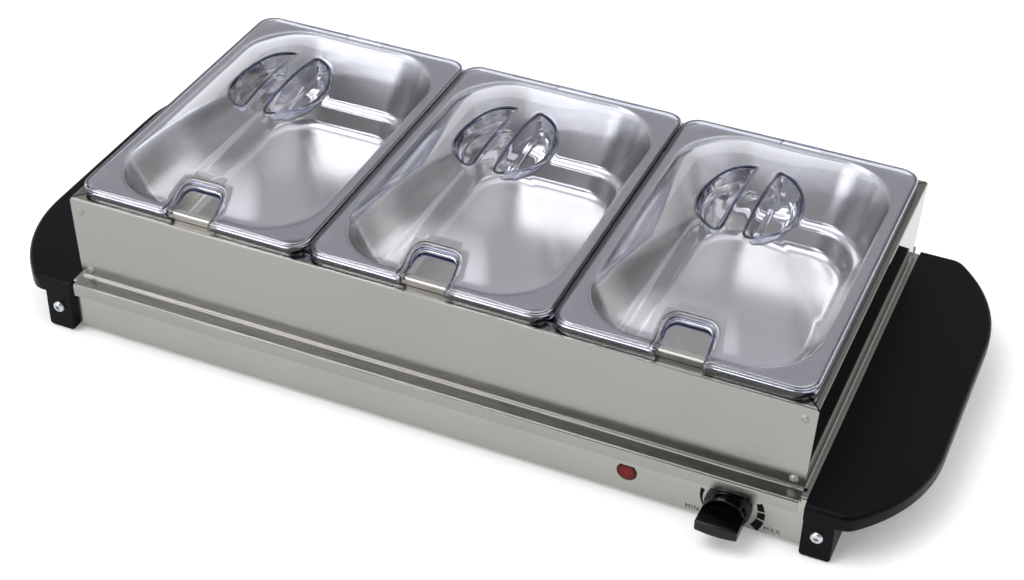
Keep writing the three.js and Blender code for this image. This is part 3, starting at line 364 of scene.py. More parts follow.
def makePan(name):
    # drawn down in steps from the mouth, with a flat rim turned down at its edge
    top = pan["top"]
    obj = roundedPlane(name, pan["openX"], pan["openY"], pan["openCorner"], top, pan["segments"])
    editMesh(obj)
    selectAllFaces()
    sizes = [(pan["openX"] / 2, pan["openY"] / 2, top), (pan["stepX"], pan["stepY"], pan["stepZ"]),
             (pan["ledgeX"], pan["ledgeY"], pan["ledgeZ"]), (pan["floorX"], pan["floorY"], pan["floorZ"])]
    for before, after in zip(sizes, sizes[1:]):
        extrudeBy(0, 0, after[2] - before[2])
        resizeBy(after[0] / before[0], after[1] / before[1])
    halfX = pan["openX"] / 2
    halfY = pan["openY"] / 2
    pick(obj, "FACE", lambda c, f: c.z > top - 1 and f.calc_area() > 0.01)
    bpy.ops.mesh.delete(type="ONLY_FACE")
    pick(obj, "EDGE", lambda c, e: c.z > top - 0.01 and len(e.link_faces) == 1)
    extrudeBy(0, 0, 0)
    mesh = bmesh.from_edit_mesh(obj.data)
    for vert in mesh.verts:
        if vert.select:
            x, y, z = vert.co * 1000
            angle = math.atan2(abs(y) - halfY + pan["openCorner"], abs(x) - halfX + pan["openCorner"])
            outX = pan["rimX"] / 2 - pan["rimCorner"] * (1 - math.cos(angle))
            outY = pan["rimY"] / 2 - pan["rimCorner"] * (1 - math.sin(angle))
            vert.co = (math.copysign(mm(outX), x), math.copysign(mm(outY), y), mm(z))
    bmesh.update_edit_mesh(obj.data)
    extrudeBy(0, 0, -pan["rimDrop"])
    faceOutwards()
    level = lambda z: (lambda c, e: abs(c.z - z) < 0.05 and abs(e.verts[0].co.z - e.verts[1].co.z) < 1e-6)
    for height, width, segments in (("floorZ", "floorRound", 6), ("ledgeZ", "ledgeRound", 4),
                                    ("stepZ", "stepRound", 4)):
        pick(obj, "EDGE", level(pan[height]))
        bevelPicked(pan[width], segments)
    withinMouth = lambda v: abs(v.co.x) < mm(halfX + 0.2) and abs(v.co.y) < mm(halfY + 0.2)
    pick(obj, "EDGE", lambda c, e: level(top)(c, e) and all(withinMouth(v) for v in e.verts)
         and any(abs(f.normal.z) < 0.9 for f in e.link_faces))
    bevelPicked(pan["mouthRound"], 5)
    pick(obj, "EDGE", lambda c, e: level(top)(c, e) and any(abs(f.normal.z) < 0.2 for f in e.link_faces)
         and (abs(c.x) > pan["rimX"] / 2 - 4 or abs(c.y) > pan["rimY"] / 2 - 4))
    bevelPicked(pan["rimRound"], 4)
    pick(obj, "FACE", lambda c, f: abs(c.z - pan["floorZ"]) < 0.05 and f.calc_area() > 0.004)
    bpy.ops.mesh.inset(thickness=mm(3), use_even_offset=True)
    endEdit()
    upwards = sum(f.normal.z * f.area for f in obj.data.polygons if abs(f.center.z * 1000 - pan["floorZ"]) < 0.1)
    if upwards < 0:
        obj.data.flip_normals()
    addModifier(obj, "SOLIDIFY", thickness=mm(pan["sheet"]), offset=-1, use_even_offset=True)
    smoothBy(obj, 45)
    addModifier(obj, "WEIGHTED_NORMAL", keep_sharp=True, weight=80)
    giveMaterial(obj, panSteel)
    return obj


sides = [("left", -1), ("middle", 0), ("right", 1)]
firstPan = makePan("pan_pressing")
for side, step in sides:
    piece = copyPiece(firstPan, "pressed_pan_" + side, shift(step * pan["pitch"]))
    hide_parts("pan_" + side)
    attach(piece, side + "_pan")
bpy.data.objects.remove(firstPan)
print("pans made")


# lids

lid = {"x": 86.5, "y": 131.2, "corner": 13.4, "top": 117, "thick": 2.1, "skirt": 6.6, "edge": 1.2,
       "domeX": 76.5, "domeY": 121.2, "domeCorner": 45, "rise": 37.5, "power": 1.85, "rimTop": 114.7,
       "notchFront": 15.5, "notchBack": 14.7, "notchReach": 25.4, "notchCorner": 7,
       "pocketX": 33.2, "pocketY": 41, "bar": 8, "pocketDepth": 17, "draft": 3.2, "pocketCorner": 4,
       "tipFront": 7, "tipRear": 3.5, "footEase": 1.3, "ringStep": 0.034, "pitch": 3.2,
       "domeRings": [1.065, 1.04, 1.022, 1.01, 1.0, 0.992, 0.982, 0.968, 0.95, 0.927],
       "pocketRim": [(-1.1, 0.0), (-0.5, 0.12), (-0.1, 0.55), (0.12, 1.3)],
       "bead": [(0.5, 0.55), (1.2, 0.95), (2.0, 1.05), (2.8, 0.9), (3.5, 0.45), (4.1, 0.0)],
       "lip": [(0.0, 0.0), (0.3, 0.09), (0.7, 0.4), (1.0, 0.85), (1.2, 1.3), (1.15, 1.75),
               (0.75, 2.1), (0.7, 2.5), (1.1, 2.9), (1.2, 3.4), (1.2, 5.2), (1.2, 6.6)],
       "gate": [(2.9, 0.0), (2.5, 0.42), (1.9, 0.5), (1.5, 0.1), (0.7, 0.05)]}


def curvePoint(start, corner, end, share):
    # a point on the curve that leaves start and reaches end, both towards the corner
    a, b, c = (1 - share) ** 2, 2 * share * (1 - share), share ** 2
    return (a * start[0] + b * corner[0] + c * end[0], a * start[1] + b * corner[1] + c * end[1])


def roundedLoop(halfX, halfY, corner, spacing):
    # points anticlockwise along a rounded rectangle, evenly enough spaced
    points = []
    arc = max(3, round(corner * math.pi / 2 / spacing))
    for quarter in range(4):
        signX = 1 if quarter in (0, 3) else -1
        signY = 1 if quarter < 2 else -1
        centreX = signX * (halfX - corner)
        centreY = signY * (halfY - corner)
        for step in range(arc + 1):
            angle = (quarter + step / arc) * math.pi / 2
            points.append((centreX + corner * math.cos(angle), centreY + corner * math.sin(angle)))
        nextSignX = 1 if (quarter + 1) % 4 in (0, 3) else -1
        nextSignY = 1 if (quarter + 1) % 4 < 2 else -1
        angle = (quarter + 1) * math.pi / 2
        end = (nextSignX * (halfX - corner) + corner * math.cos(angle),
               nextSignY * (halfY - corner) + corner * math.sin(angle))
        last = points[-1]
        run = math.dist(last, end)
        pieces = max(1, round(run / spacing))
        for step in range(1, pieces):
            share = step / pieces
            points.append((last[0] + (end[0] - last[0]) * share, last[1] + (end[1] - last[1]) * share))
    return points


def domeShare(x, y):
    # 0 at the crown, 1 on the dome's foot: the scale of the rounded rectangle through the point
    x, y = abs(x), abs(y)
    low, high = 0.0, 2.0
    for _ in range(40):
        share = (low + high) / 2
        halfX, halfY, corner = lid["domeX"] * share, lid["domeY"] * share, lid["domeCorner"] * share
        outX, outY = x - (halfX - corner), y - (halfY - corner)
        if outX > 0 and outY > 0:
            inside = outX * outX + outY * outY < corner * corner
        else:
            inside = x < halfX and y < halfY
        if inside:
            high = share
        else:
            low = share
    return (low + high) / 2


def domeZ(x, y):
    rise = lid["rise"] * (1 - domeShare(x, y) ** lid["power"])
    return lid["top"] + (rise + math.hypot(rise, lid["footEase"])) / 2      # eases the dome's foot into the flange


def notchLoop(out):
    # the spoon notch from the front edge's left foot to its right foot, moved outwards by out
    front = -lid["y"]
    back = front + lid["notchReach"] + out
    slant = (lid["notchFront"] - lid["notchBack"]) / lid["notchReach"]
    wideFront = lid["notchFront"] + out
    wideBack = lid["notchBack"] + out
    corner = lid["notchCorner"] + out
    points = []
    sideRun = 7
    endY = back - corner
    for step in range(sideRun):
        y = front + (endY - front) * (step / sideRun)
        points.append((-(wideFront - slant * (y - front)), y))
    turn = 8
    cornerX = wideFront - slant * (endY - front)
    for step in range(turn + 1):
        points.append(curvePoint((-cornerX, endY), (-wideBack, back), (-(wideBack - corner), back), step / turn))
    mirrored = [(-x, y) for x, y in reversed(points)]
    middle = 6
    straight = [(-(wideBack - corner) * (1 - 2 * step / middle), back) for step in range(1, middle)]
    return points + straight + mirrored


def pocketLoop(side, inset):
    # one half-round finger pocket, its straight side along the grip bar
    halfX = lid["pocketX"] - inset
    halfY = lid["pocketY"] - inset
    bar = lid["bar"] + inset
    start = math.acos(bar / halfX)
    turns = []
    for tip, sign in ((lid["tipRear"], 1), (lid["tipFront"], -1)):
        corner = (bar, sign * halfY * math.sin(start))
        away = sign * (start - tip / halfY)
        on = (halfX * math.cos(away), halfY * math.sin(away))
        along = (bar, corner[1] - sign * tip)
        turns.append([curvePoint(on, corner, along, step / 5) for step in range(6)])
    steps = 30
    low = -start + lid["tipFront"] / halfY
    high = start - lid["tipRear"] / halfY
    angles = [low + (high - low) * step / steps for step in range(1, steps)]
    arc = [(halfX * math.cos(angle), halfY * math.sin(angle)) for angle in angles]
    run = 20
    first, last = turns[0][-1][1], turns[1][-1][1]
    straight = [(bar, first + (last - first) * step / run) for step in range(1, run)]
    points = arc + turns[0] + straight + list(reversed(turns[1]))
    if side < 0:
        points = [(-x, y) for x, y in reversed(points)]
    return points


def insideLoop(x, y, loop):
    inside = False
    for (ax, ay), (bx, by) in zip(loop, loop[1:] + loop[:1]):
        if (ay > y) != (by > y) and x < (bx - ax) * (y - ay) / (by - ay) + ax:
            inside = not inside
    return inside


def lidOutline():
    # the lid's edge with the notch let into its front
    body = roundedLoop(lid["x"], lid["y"], lid["corner"], 3)
    front = -lid["y"]
    foot = lid["notchFront"]
    notch = [(x, max(y, front)) for x, y in notchLoop(0)]
    keep = [p for p in body if not (p[1] < front + 0.01 and abs(p[0]) < foot + 1.5)]
    # the loop runs anticlockwise, so along the front it goes from left to right
    farLeft = -2 * lid["x"]
    start = max(range(len(keep)),
                key=lambda i: (keep[i][1] < front + 0.01, keep[i][0] if keep[i][0] < 0 else farLeft))
    keep = keep[start + 1:] + keep[:start + 1]
    return keep + notch


def insetLoop(loop, inset):
    # each corner of an anticlockwise loop moves in by the same distance from both of its sides
    moved = []
    count = len(loop)
    for i, (x, y) in enumerate(loop):
        before = Vector((x - loop[i - 1][0], y - loop[i - 1][1])).normalized()
        after = Vector((loop[(i + 1) % count][0] - x, loop[(i + 1) % count][1] - y)).normalized()
        inwards = Vector((-before.y - after.y, before.x + after.x))
        inwards = inwards / max(0.5, inwards.length_squared / 2)
        moved.append((x + inwards.x * inset, y + inwards.y * inset))
    return moved


def tintPocketRims(obj):
    # where the eye looks along the sheet, the plastic shows its blue-violet body colour
    loops = [(pocketLoop(side, -0.55), pocketLoop(side, 0.2)) for side in (-1, 1)]
    for face in obj.data.polygons:
        x, y, z = face.center * 1000
        if z > lid["top"] + lid["rise"] * 0.5:
            if any(insideLoop(x, y, outer) and not insideLoop(x, y, inner) for outer, inner in loops):
                face.material_index = 2


def makeLid(name):
    # the edge rolls over, then a shallow groove and a lower ridge run round the skirt
    edgeLoops = [insetLoop(lidOutline(), lid["edge"] - out) for out, drop in lid["lip"]]
    inner = edgeLoops[0]
    pocketTop = lid["top"] + lid["rise"]
    # rings down each pocket: how far in and how far below the rim
    depth = lid["pocketDepth"]
    wallEnd = depth - lid["pocketCorner"]
    pocketRings = []
    for side in (-1, 1):
        for inset, drop in lid["pocketRim"]:
            loop = pocketLoop(side, inset)
            pocketRings.append((loop, [domeZ(x, y) - drop for x, y in loop]))
        for share in (0.5, 1.0):
            inset = lid["draft"] * share
            z = pocketTop - wallEnd * share - (1 - share) * 1.5
            loop = pocketLoop(side, inset)
            pocketRings.append((loop, [z] * len(loop)))
        for angle in (30, 60, 90):
            inset = lid["draft"] + lid["pocketCorner"] * math.sin(math.radians(angle)) * 0.9
            z = pocketTop - wallEnd - lid["pocketCorner"] * (1 - math.cos(math.radians(angle)))
            loop = pocketLoop(side, inset)
            pocketRings.append((loop, [z] * len(loop)))
    heights = {}
    coords, edges = [], []

    def addLoop(loop, zs):
        first = len(coords)
        for (x, y), z in zip(loop, zs):
            coords.append(Vector((x, y)))
            heights[len(coords) - 1] = z
        count = len(loop)
        edges.extend((first + i, first + (i + 1) % count) for i in range(count))

    addLoop(inner, [domeZ(x, y) for x, y in inner])
    for loop, zs in pocketRings:
        addLoop(loop, zs)
    # a rounded bead runs round the notch, and the mould's gate left a small ring on the grip bar
    for out, height in lid["bead"]:
        chain = [p for p in notchLoop(lid["edge"] + out) if p[1] > -lid["y"] + lid["edge"] + 0.4]
        first = len(coords)
        for x, y in chain:
            heights[len(coords)] = domeZ(x, y) + height * min(1, (y + lid["y"]) / 4)
            coords.append(Vector((x, y)))
        edges.extend((first + i, first + i + 1) for i in range(len(chain) - 1))
    for radius, height in lid["gate"]:
        ring = [(radius * math.cos(i * math.pi / 10), radius * math.sin(i * math.pi / 10)) for i in range(20)]
        addLoop(ring, [pocketTop + height] * len(ring))
    pocketsOut = [pocketLoop(side, lid["pocketRim"][0][0] - 1.6) for side in (-1, 1)]
    notchOut = notchLoop(lid["edge"] + lid["bead"][-1][0] + 1.2)
    notchArea = [(notchOut[0][0], -lid["y"] - 5)] + notchOut + [(notchOut[-1][0], -lid["y"] - 5)]

    def free(x, y):
        if insideLoop(x, y, notchArea) or math.hypot(x, y) < lid["gate"][0][0] + 1:
            return False
        return not any(insideLoop(x, y, loop) for loop in pocketsOut)

    # rings up the dome, close together at its foot
    shares = list(lid["domeRings"])
    while shares[-1] > 2 * lid["ringStep"]:
        shares.append(shares[-1] - lid["ringStep"])
    for share in shares:
        corner = lid["domeCorner"] * min(share, 1)
        for x, y in roundedLoop(lid["domeX"] * share, lid["domeY"] * share, corner, lid["pitch"]):
            if free(x, y):
                coords.append(Vector((x, y)))
    # a few points on the pockets' floors keep their triangles even
    for side in (-1, 1):
        for x in range(14, 26, 5):
            for y in range(-24, 25, 6):
                if insideLoop(side * x, y, pocketLoop(side, lid["draft"] + lid["pocketCorner"] + 1.2)):
                    coords.append(Vector((side * x, y)))
                    heights[len(coords) - 1] = pocketTop - depth
    verts, _, faces, origins, _, _ = delaunay_2d_cdt(coords, edges, [], 0, 1e-5)
    points = []
    for vert, origin in zip(verts, origins):
        known = [heights[i] for i in origin if i in heights]
        points.append((vert.x, vert.y, known[0] if known else domeZ(vert.x, vert.y)))
    kept = []
    for face in faces:
        cx = sum(verts[i].x for i in face) / len(face)
        cy = sum(verts[i].y for i in face) / len(face)
        if insideLoop(cx, cy, inner):
            kept.append(tuple(face))
    # the skirt hangs from the notch's rim too, but there it stays above the pan's rim
    where = {(round(x, 3), round(y, 3)): i for i, (x, y, z) in enumerate(points)}
    previous = [where[(round(x, 3), round(y, 3))] for x, y in inner]
    count = len(inner)
    rolled = lid["lip"][4][1]
    skirtDrops, onNotch, paintedShadeFront = [], [], []
    for (x, y), (ix, iy) in zip(edgeLoops[-1], inner):
        full = domeZ(ix, iy)
        low = full - lid["skirt"]
        overRim = abs(x) < lid["notchFront"] + 0.2 and y > -lid["y"] + 0.3
        if overRim:
            ease = min(1, (y + lid["y"]) / 2.5)
            low = max(low, lid["rimTop"] * ease + (lid["top"] - lid["skirt"]) * (1 - ease))
        skirtDrops.append(full - low)
        onNotch.append(overRim and y > -lid["y"] + lid["notchReach"] * 0.45)
        paintedShadeFront.append(not overRim and y < -lid["y"] + lid["corner"] * 0.5)
    tintsAndPaintedShade = [0] * len(kept)
    for level, (loop, (out, drop)) in enumerate(zip(edgeLoops[1:], lid["lip"][1:]), 1):
        first = len(points)
        for (x, y), (ix, iy), skirtDrop in zip(loop, inner, skirtDrops):
            if drop > rolled:
                share = (drop - rolled) / (lid["skirt"] - rolled)
                points.append((x, y, domeZ(ix, iy) - rolled - (skirtDrop - rolled) * share))
            else:
                points.append((x, y, domeZ(ix, iy) - drop))
        current = list(range(first, first + count))
        for i in range(count):
            j = (i + 1) % count
            kept.append((previous[i], current[i], current[j], previous[j]))
            lowest = level == len(lid["lip"]) - 1
            # the front skirt's lowest row takes the near-black copy, painted shade of the gap beneath the lid
            tintsAndPaintedShade.append(2 if (onNotch[i] and (level < 3 or lowest)) else 1 if paintedShadeFront[i] and lowest else 0)
        previous = current
    obj = meshFrom(name, points, kept)
    for material in (clearPlastic, paintedShadeEdge, clearRim):
        obj.data.materials.append(material)
    for face, tint in zip(obj.data.polygons, tintsAndPaintedShade):
        face.material_index = tint
    tintPocketRims(obj)
    editMesh(obj)
    bpy.ops.mesh.select_all(action="SELECT")
    bpy.ops.mesh.remove_doubles(threshold=mm(0.02))
    faceOutwards()
    endEdit()
    upwards = sum(f.normal.z * f.area for f in obj.data.polygons)
    if upwards < 0:
        obj.data.flip_normals()
    addModifier(obj, "SOLIDIFY", thickness=mm(lid["thick"]), offset=-1, use_even_offset=False)
    smoothBy(obj, 50)
    return obj


firstLid = makeLid("lid_moulding")
for side, step in sides:
    piece = copyPiece(firstLid, "clear_lid_" + side, shift(step * pan["pitch"]))
    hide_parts("lid_" + side)
    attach(piece, side + "_lid")
bpy.data.objects.remove(firstLid)
print("lids made")


# end handles

handle = {"inner": 266.9, "outer": 334.8, "front": 147, "arc": 115, "cornerX": 295.24, "blend": 5, "top": 41.4,
          "rim": 11.5, "edge": 3.4, "lowEdge": 0.8, "wall": 2.6, "skin": 3, "legInner": 267.1, "legOuter": 287.6,
          "legDeep": 44, "legFoot": 0.8, "legRound": 2.4, "legEdge": 0.7}


def handleOutline():
    # a straight inner side, and a large arc at each end that runs out to the blunt corners
    front = handle["front"]
    radius = handle["arc"]
    arcX = handle["outer"] - radius
    arcY = front - math.sqrt(radius ** 2 - (handle["cornerX"] - arcX) ** 2)
    cornerAngle = math.asin((front - arcY) / radius)
    cornerX = arcX + radius * math.cos(cornerAngle)
    blendAngle = cornerAngle - handle["blend"] / radius
    start = (cornerX - handle["blend"], front)
    corner = (cornerX, front)
    end = (arcX + radius * math.cos(blendAngle), arcY + radius * math.sin(blendAngle))
    turn = 6
    half = [curvePoint(start, corner, end, step / turn) for step in range(turn)]
    steps = 26
    for step in range(steps + 1):
        angle = blendAngle * (1 - step / steps)
        half.append((arcX + radius * math.cos(angle), arcY + radius * math.sin(angle)))
    rear = [(handle["inner"], front)] + half
    frontHalf = [(x, -y) for x, y in reversed(rear)]
    return rear + frontHalf


def makeHandle(name):
    # a tray-like moulding, hollow from below, with two legs grown into it
    outline = handleOutline()
    obj = meshFrom(name, [(x, y, handle["top"]) for x, y in outline], [tuple(range(len(outline)))])
    editMesh(obj)
    selectAllFaces()
    extrudeBy(0, 0, -handle["rim"])
    faceOutwards()
    inner = handle["inner"]
    pick(obj, "EDGE", lambda c, e: c.z > handle["top"] - 0.01 and c.x > inner + 0.5)
    bevelPicked(handle["edge"], 6)
    pick(obj, "EDGE", lambda c, e: c.z < handle["top"] - handle["rim"] + 0.01 and c.x > inner + 0.5)
    bevelPicked(handle["lowEdge"], 2)
    pick(obj, "FACE", lambda c, f: f.normal.z < -0.9 and f.calc_area() > 0.002)
    bpy.ops.mesh.inset(thickness=mm(handle["wall"] - handle["lowEdge"]), use_even_offset=True)
    extrudeBy(0, 0, handle["rim"] - handle["skin"])
    endEdit()
    legMiddle = (handle["legInner"] + handle["legOuter"]) / 2
    legWide = handle["legOuter"] - handle["legInner"]
    legTop = handle["top"] - handle["skin"]
    for sign in (-1, 1):
        noSelection()
        y = sign * (handle["front"] - handle["legDeep"] / 2)
        z = (legTop + handle["legFoot"]) / 2
        bpy.ops.mesh.primitive_cube_add(size=1, location=(mm(legMiddle), mm(y), mm(z)))
        leg = bpy.context.object
        leg.scale = (mm(legWide), mm(handle["legDeep"]), mm(legTop - handle["legFoot"]))
        applyPlace(leg)
        editMesh(leg)
        pick(leg, "EDGE", lambda c, e: c.z < handle["legFoot"] + 0.1
             and abs(abs(c.x - legMiddle) - legWide / 2) < 0.1)
        bevelPicked(handle["legRound"], 4)
        pick(leg, "EDGE", lambda c, e: abs(e.verts[0].co.y - e.verts[1].co.y) < 1e-6
             and abs(c.y) > handle["front"] - 0.1 and c.z < legTop - 0.1)
        bevelPicked(handle["legEdge"], 2)
        endEdit()
        cut(obj, leg, "UNION")
    smoothBy(obj, 40)
    addModifier(obj, "WEIGHTED_NORMAL", keep_sharp=True, weight=70)
    giveMaterial(obj, blackPlastic)
    return obj


rightHandle = makeHandle("moulded_handle_right")
leftHandle = copyPiece(rightHandle, "moulded_handle_left", Matrix.Rotation(math.pi, 4, "Z"))
for piece, side in ((rightHandle, "right"), (leftHandle, "left")):
    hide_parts("handle_" + side)
    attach(piece, "base")
print("handles made")


# knob and dial

knob = {"x": 217.9, "z": 18, "panel": -141.5, "depth": 26.5,
        "steps": [(15.5, 0.8), (15.5, 3.1), (14.9, 3.5), (15.0, 3.8), (15.0, 5.7), (14.4, 6.1), (14.3, 6.4),
                  (14.2, 10.6), (13.6, 11.4), (13.0, 11.5), (12.3, 10.9), (11.5, 10.1)],
        "stepRounds": [(3.1, 0.7), (5.7, 0.6)],
        "gripWide": 28.2, "gripThick": 7.8, "gripStart": 6.5, "bulge": 0.6, "droop": 0.8, "gripRound": 1.0,
        "root": 0.7}


def makeKnob(name):
    # a stepped body with a dished face, and a grip bar standing across it
    noSelection()
    radius, start = knob["steps"][0]
    bpy.ops.mesh.primitive_circle_add(vertices=72, radius=mm(radius), fill_type="NGON", location=(0, 0, mm(start)))
    obj = bpy.context.object
    obj.name = name
    applyPlace(obj)
    editMesh(obj)
    selectAllFaces()
    for before, after in zip(knob["steps"], knob["steps"][1:]):
        extrudeBy(0, 0, after[1] - before[1])
        resizeBy(after[0] / before[0], after[0] / before[0])
    faceOutwards()
    for height, width in knob["stepRounds"]:
        pick(obj, "EDGE", lambda c, e: abs(c.z - height) < 0.01)
        bevelPicked(width, 3)
    endEdit()
    noSelection()
    halfWide = knob["gripWide"] / 2
    halfThick = knob["gripThick"] / 2
    bpy.ops.mesh.primitive_grid_add(x_subdivisions=12, y_subdivisions=1, size=1, location=(0, 0, 0))
    grip = bpy.context.object
    grip.scale = (mm(2 * halfWide), mm(2 * halfThick), 1)
    applyPlace(grip)
    editMesh(grip)
    selectAllFaces()
    bpy.ops.transform.translate(value=(0, 0, mm(knob["gripStart"])))
    extrudeBy(0, 0, knob["depth"] - knob["gripStart"])
    mesh = bmesh.from_edit_mesh(grip.data)
    for vert in mesh.verts:
        across = vert.co.x * 1000 / halfWide
        vert.co.y += math.copysign(mm(knob["bulge"]) * (1 - across * across), vert.co.y)
        if vert.co.z > mm(knob["depth"] - 0.1):
            vert.co.z -= mm(knob["droop"]) * across * across
    bmesh.update_edit_mesh(grip.data)
    faceOutwards()
    upright = lambda e: [f for f in e.link_faces if abs(f.normal.z) < 0.5]
    front = lambda e: all(v.co.z > mm(knob["depth"] - 1) for v in e.verts) and len(upright(e)) > 0
    side = lambda e: len(upright(e)) == 2 and len({round(f.normal.x) for f in e.link_faces}) > 1
    pick(grip, "EDGE", lambda c, e: front(e) or side(e))
    bevelPicked(knob["gripRound"], 4)
    endEdit()
    cut(obj, grip, "UNION")
    face = knob["steps"][-1][1]
    editMesh(obj)
    pick(obj, "EDGE", lambda c, e: all(abs(v.co.z - mm(face)) < mm(0.02) for v in e.verts)
         and halfThick - 0.1 < abs(c.y) < halfThick + knob["bulge"] + 0.1)
    bevelPicked(knob["root"], 4)      # the moulded fillet that catches the light
    endEdit()
    smoothBy(obj, 35)
    addModifier(obj, "WEIGHTED_NORMAL", keep_sharp=True, weight=60)
    obj.data.transform(shift(knob["x"], knob["panel"], knob["z"]) @ Matrix.Rotation(math.pi / 2, 4, "X"))
    giveMaterial(obj, knobPlastic)
    return obj


dialKnob = makeKnob("dial_knob")
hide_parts("knob")
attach(dialKnob, "dial")
print("knob made")


# lamp lens

lamp = {"x": 149.3, "z": 20.4, "radius": 6.8, "flat": 0.74, "front": -142.3, "back": -139.2, "edge": 1.1,
        "crown": [(0.98, 0.5), (0.955, 0.3), (0.91, 0.15), (0.8, 0.1), (0.7, 0.04)]}


def makeLens(name):
    # a round lens with its top cut flat
    height = lamp["radius"] * lamp["flat"]
    start = math.asin(lamp["flat"]) + 0.09
    steps = 60
    outline = []
    for step in range(steps + 1):
        angle = math.pi - start + (math.pi + 2 * start) * step / steps
        outline.append((lamp["radius"] * math.cos(angle), lamp["radius"] * math.sin(angle), 0))
    cornerX = lamp["radius"] * math.cos(math.asin(lamp["flat"])) - 0.6
    outline = outline + [(cornerX, height, 0), (-cornerX, height, 0)]
    obj = meshFrom(name, outline, [tuple(range(len(outline)))])
    editMesh(obj)
    selectAllFaces()
    extrudeBy(0, 0, lamp["back"] - lamp["front"] - lamp["edge"])
    for share, rise in lamp["crown"]:
        extrudeBy(0, 0, rise)
        resizeBy(share, share)
    faceOutwards()
    endEdit()
    smoothBy(obj, 60)
    obj.data.transform(shift(lamp["x"], lamp["back"], lamp["z"]) @ Matrix.Rotation(math.pi / 2, 4, "X"))
    giveMaterial(obj, redLens("red acrylic lens, painted rim shade", lamp["x"], lamp["z"], lamp["radius"]))
    return obj


lens = makeLens("red_lamp_lens")
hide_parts("lamp_lens")
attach(lens, "base")
print("lamp made")


# cross-head screws

screw = {"radius": 4.3, "height": 2.6, "cross": 0.75, "reach": 2.3, "deep": 1.5, "narrowing": 0.6,
         "profile": [(1, 0), (1, 0.3), (0.97, 0.5), (0.88, 0.72), (0.74, 0.87), (0.55, 0.96), (0.3, 1)],
         "x": 277.35, "y": 147.05, "z": 19.4}


def makeScrew(name):
    # a pan head with a tapered cross recess
    height = screw["height"]
    noSelection()
    bpy.ops.mesh.primitive_circle_add(vertices=48, radius=mm(screw["radius"]), fill_type="NGON", location=(0, 0, 0))
    obj = bpy.context.object
    obj.name = name
    editMesh(obj)
    selectAllFaces()
    for before, after in zip(screw["profile"], screw["profile"][1:]):
        extrudeBy(0, 0, (after[1] - before[1]) * height)
        resizeBy(after[0] / before[0], after[0] / before[0])
    faceOutwards()
    endEdit()
    for wide, deep in ((screw["reach"], screw["cross"]), (screw["cross"], screw["reach"])):
        noSelection()
        bpy.ops.mesh.primitive_cube_add(size=2, location=(0, 0, mm(height)))
        tool = bpy.context.object
        tool.scale = (mm(wide), mm(deep), mm(screw["deep"]))
        applyPlace(tool)
        editMesh(tool)
        pick(tool, "VERT", lambda c, v: c.z < height)
        resizeBy(screw["narrowing"], screw["narrowing"])
        endEdit()
        cut(obj, tool)
    smoothBy(obj, 40)
    giveMaterial(obj, zincPlate)
    return obj


legScrew = makeScrew("leg_screw_pattern")
for face, sign in (("front", -1), ("rear", 1)):
    for side, across in (("left", -1), ("right", 1)):
        place = shift(across * screw["x"], sign * screw["y"], screw["z"])
        place = place @ Matrix.Rotation(-sign * math.pi / 2, 4, "X")
        # no two screws stop at the same turn
        place = place @ Matrix.Rotation(math.radians(20 + 35 * across * sign), 4, "Z")
        piece = copyPiece(legScrew, "cross_screw_" + face + "_" + side, place)
        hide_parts("leg_screw_" + face + "_" + side)
        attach(piece, "base")
bpy.data.objects.remove(legScrew)
print("screws made")


# marks printed round the dial

dial = {"y": -141.56, "x": 219, "z": 19.2, "inner": 18.1, "low": 3.4, "high": 39.5,
        "blocks": [(211.5, 0.5, 160, 2.9), (22, 4.1, 4.8, 4.6), (1.8, 4.9, -12.9, 5.3), (-16.5, 5.6, -39, 6.4)],
        "wordSize": 4.9, "wordSpace": 1.12, "words": {"MIN": (194.5, 7.2), "MAX": (247.6, 7.9)}}


def makeMarks(name):
    # a thin line that grows upwards from MIN, then blocks that broaden down to MAX
    points, faces = [], []
    for start, thin, end, thick in dial["blocks"]:
        steps = max(6, round(abs(start - end) / 3))
        first = len(points)
        for step in range(steps + 1):
            share = step / steps
            angle = math.radians(start + (end - start) * share)
            for radius in (dial["inner"], dial["inner"] + thin + (thick - thin) * share):
                points.append((dial["x"] + radius * math.cos(angle), dial["y"],
                               dial["z"] + radius * math.sin(angle)))
        for step in range(steps):
            a = first + 2 * step
            faces.append((a, a + 1, a + 3, a + 2))
    obj = meshFrom(name, points, faces)
    editMesh(obj)
    bpy.ops.mesh.select_all(action="SELECT")
    bpy.ops.mesh.bisect(plane_co=(0, 0, mm(dial["high"])), plane_no=(0, 0, 1), clear_outer=True)
    bpy.ops.mesh.select_all(action="SELECT")
    bpy.ops.mesh.bisect(plane_co=(0, 0, mm(dial["low"])), plane_no=(0, 0, -1), clear_outer=True)
    endEdit()
    facing = sum(f.normal.y for f in obj.data.polygons)
    if facing > 0:
        obj.data.flip_normals()
    giveMaterial(obj, inkBlack)
    return obj


def makeWord(name, text):
    noSelection()
    bpy.ops.object.text_add(location=(0, 0, 0))
    word = bpy.context.object
    word.data.body = text
    word.data.size = mm(dial["wordSize"])
    word.data.space_character = dial["wordSpace"]
    word.data.align_x = "CENTER"
    word.data.align_y = "CENTER"
    bpy.ops.object.convert(target="MESH")
    obj = bpy.context.object
    obj.name = name
    x, z = dial["words"][text]
    obj.data.transform(shift(x, dial["y"], z) @ Matrix.Rotation(math.pi / 2, 4, "X"))
    giveMaterial(obj, inkBlack)
    return obj


marks = [makeMarks("dial_marks"), makeWord("dial_word_min", "MIN"), makeWord("dial_word_max", "MAX")]
for piece in marks:
    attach(piece, "base")
print("dial marks made")


# CAD pieces whose shape is right get their finish

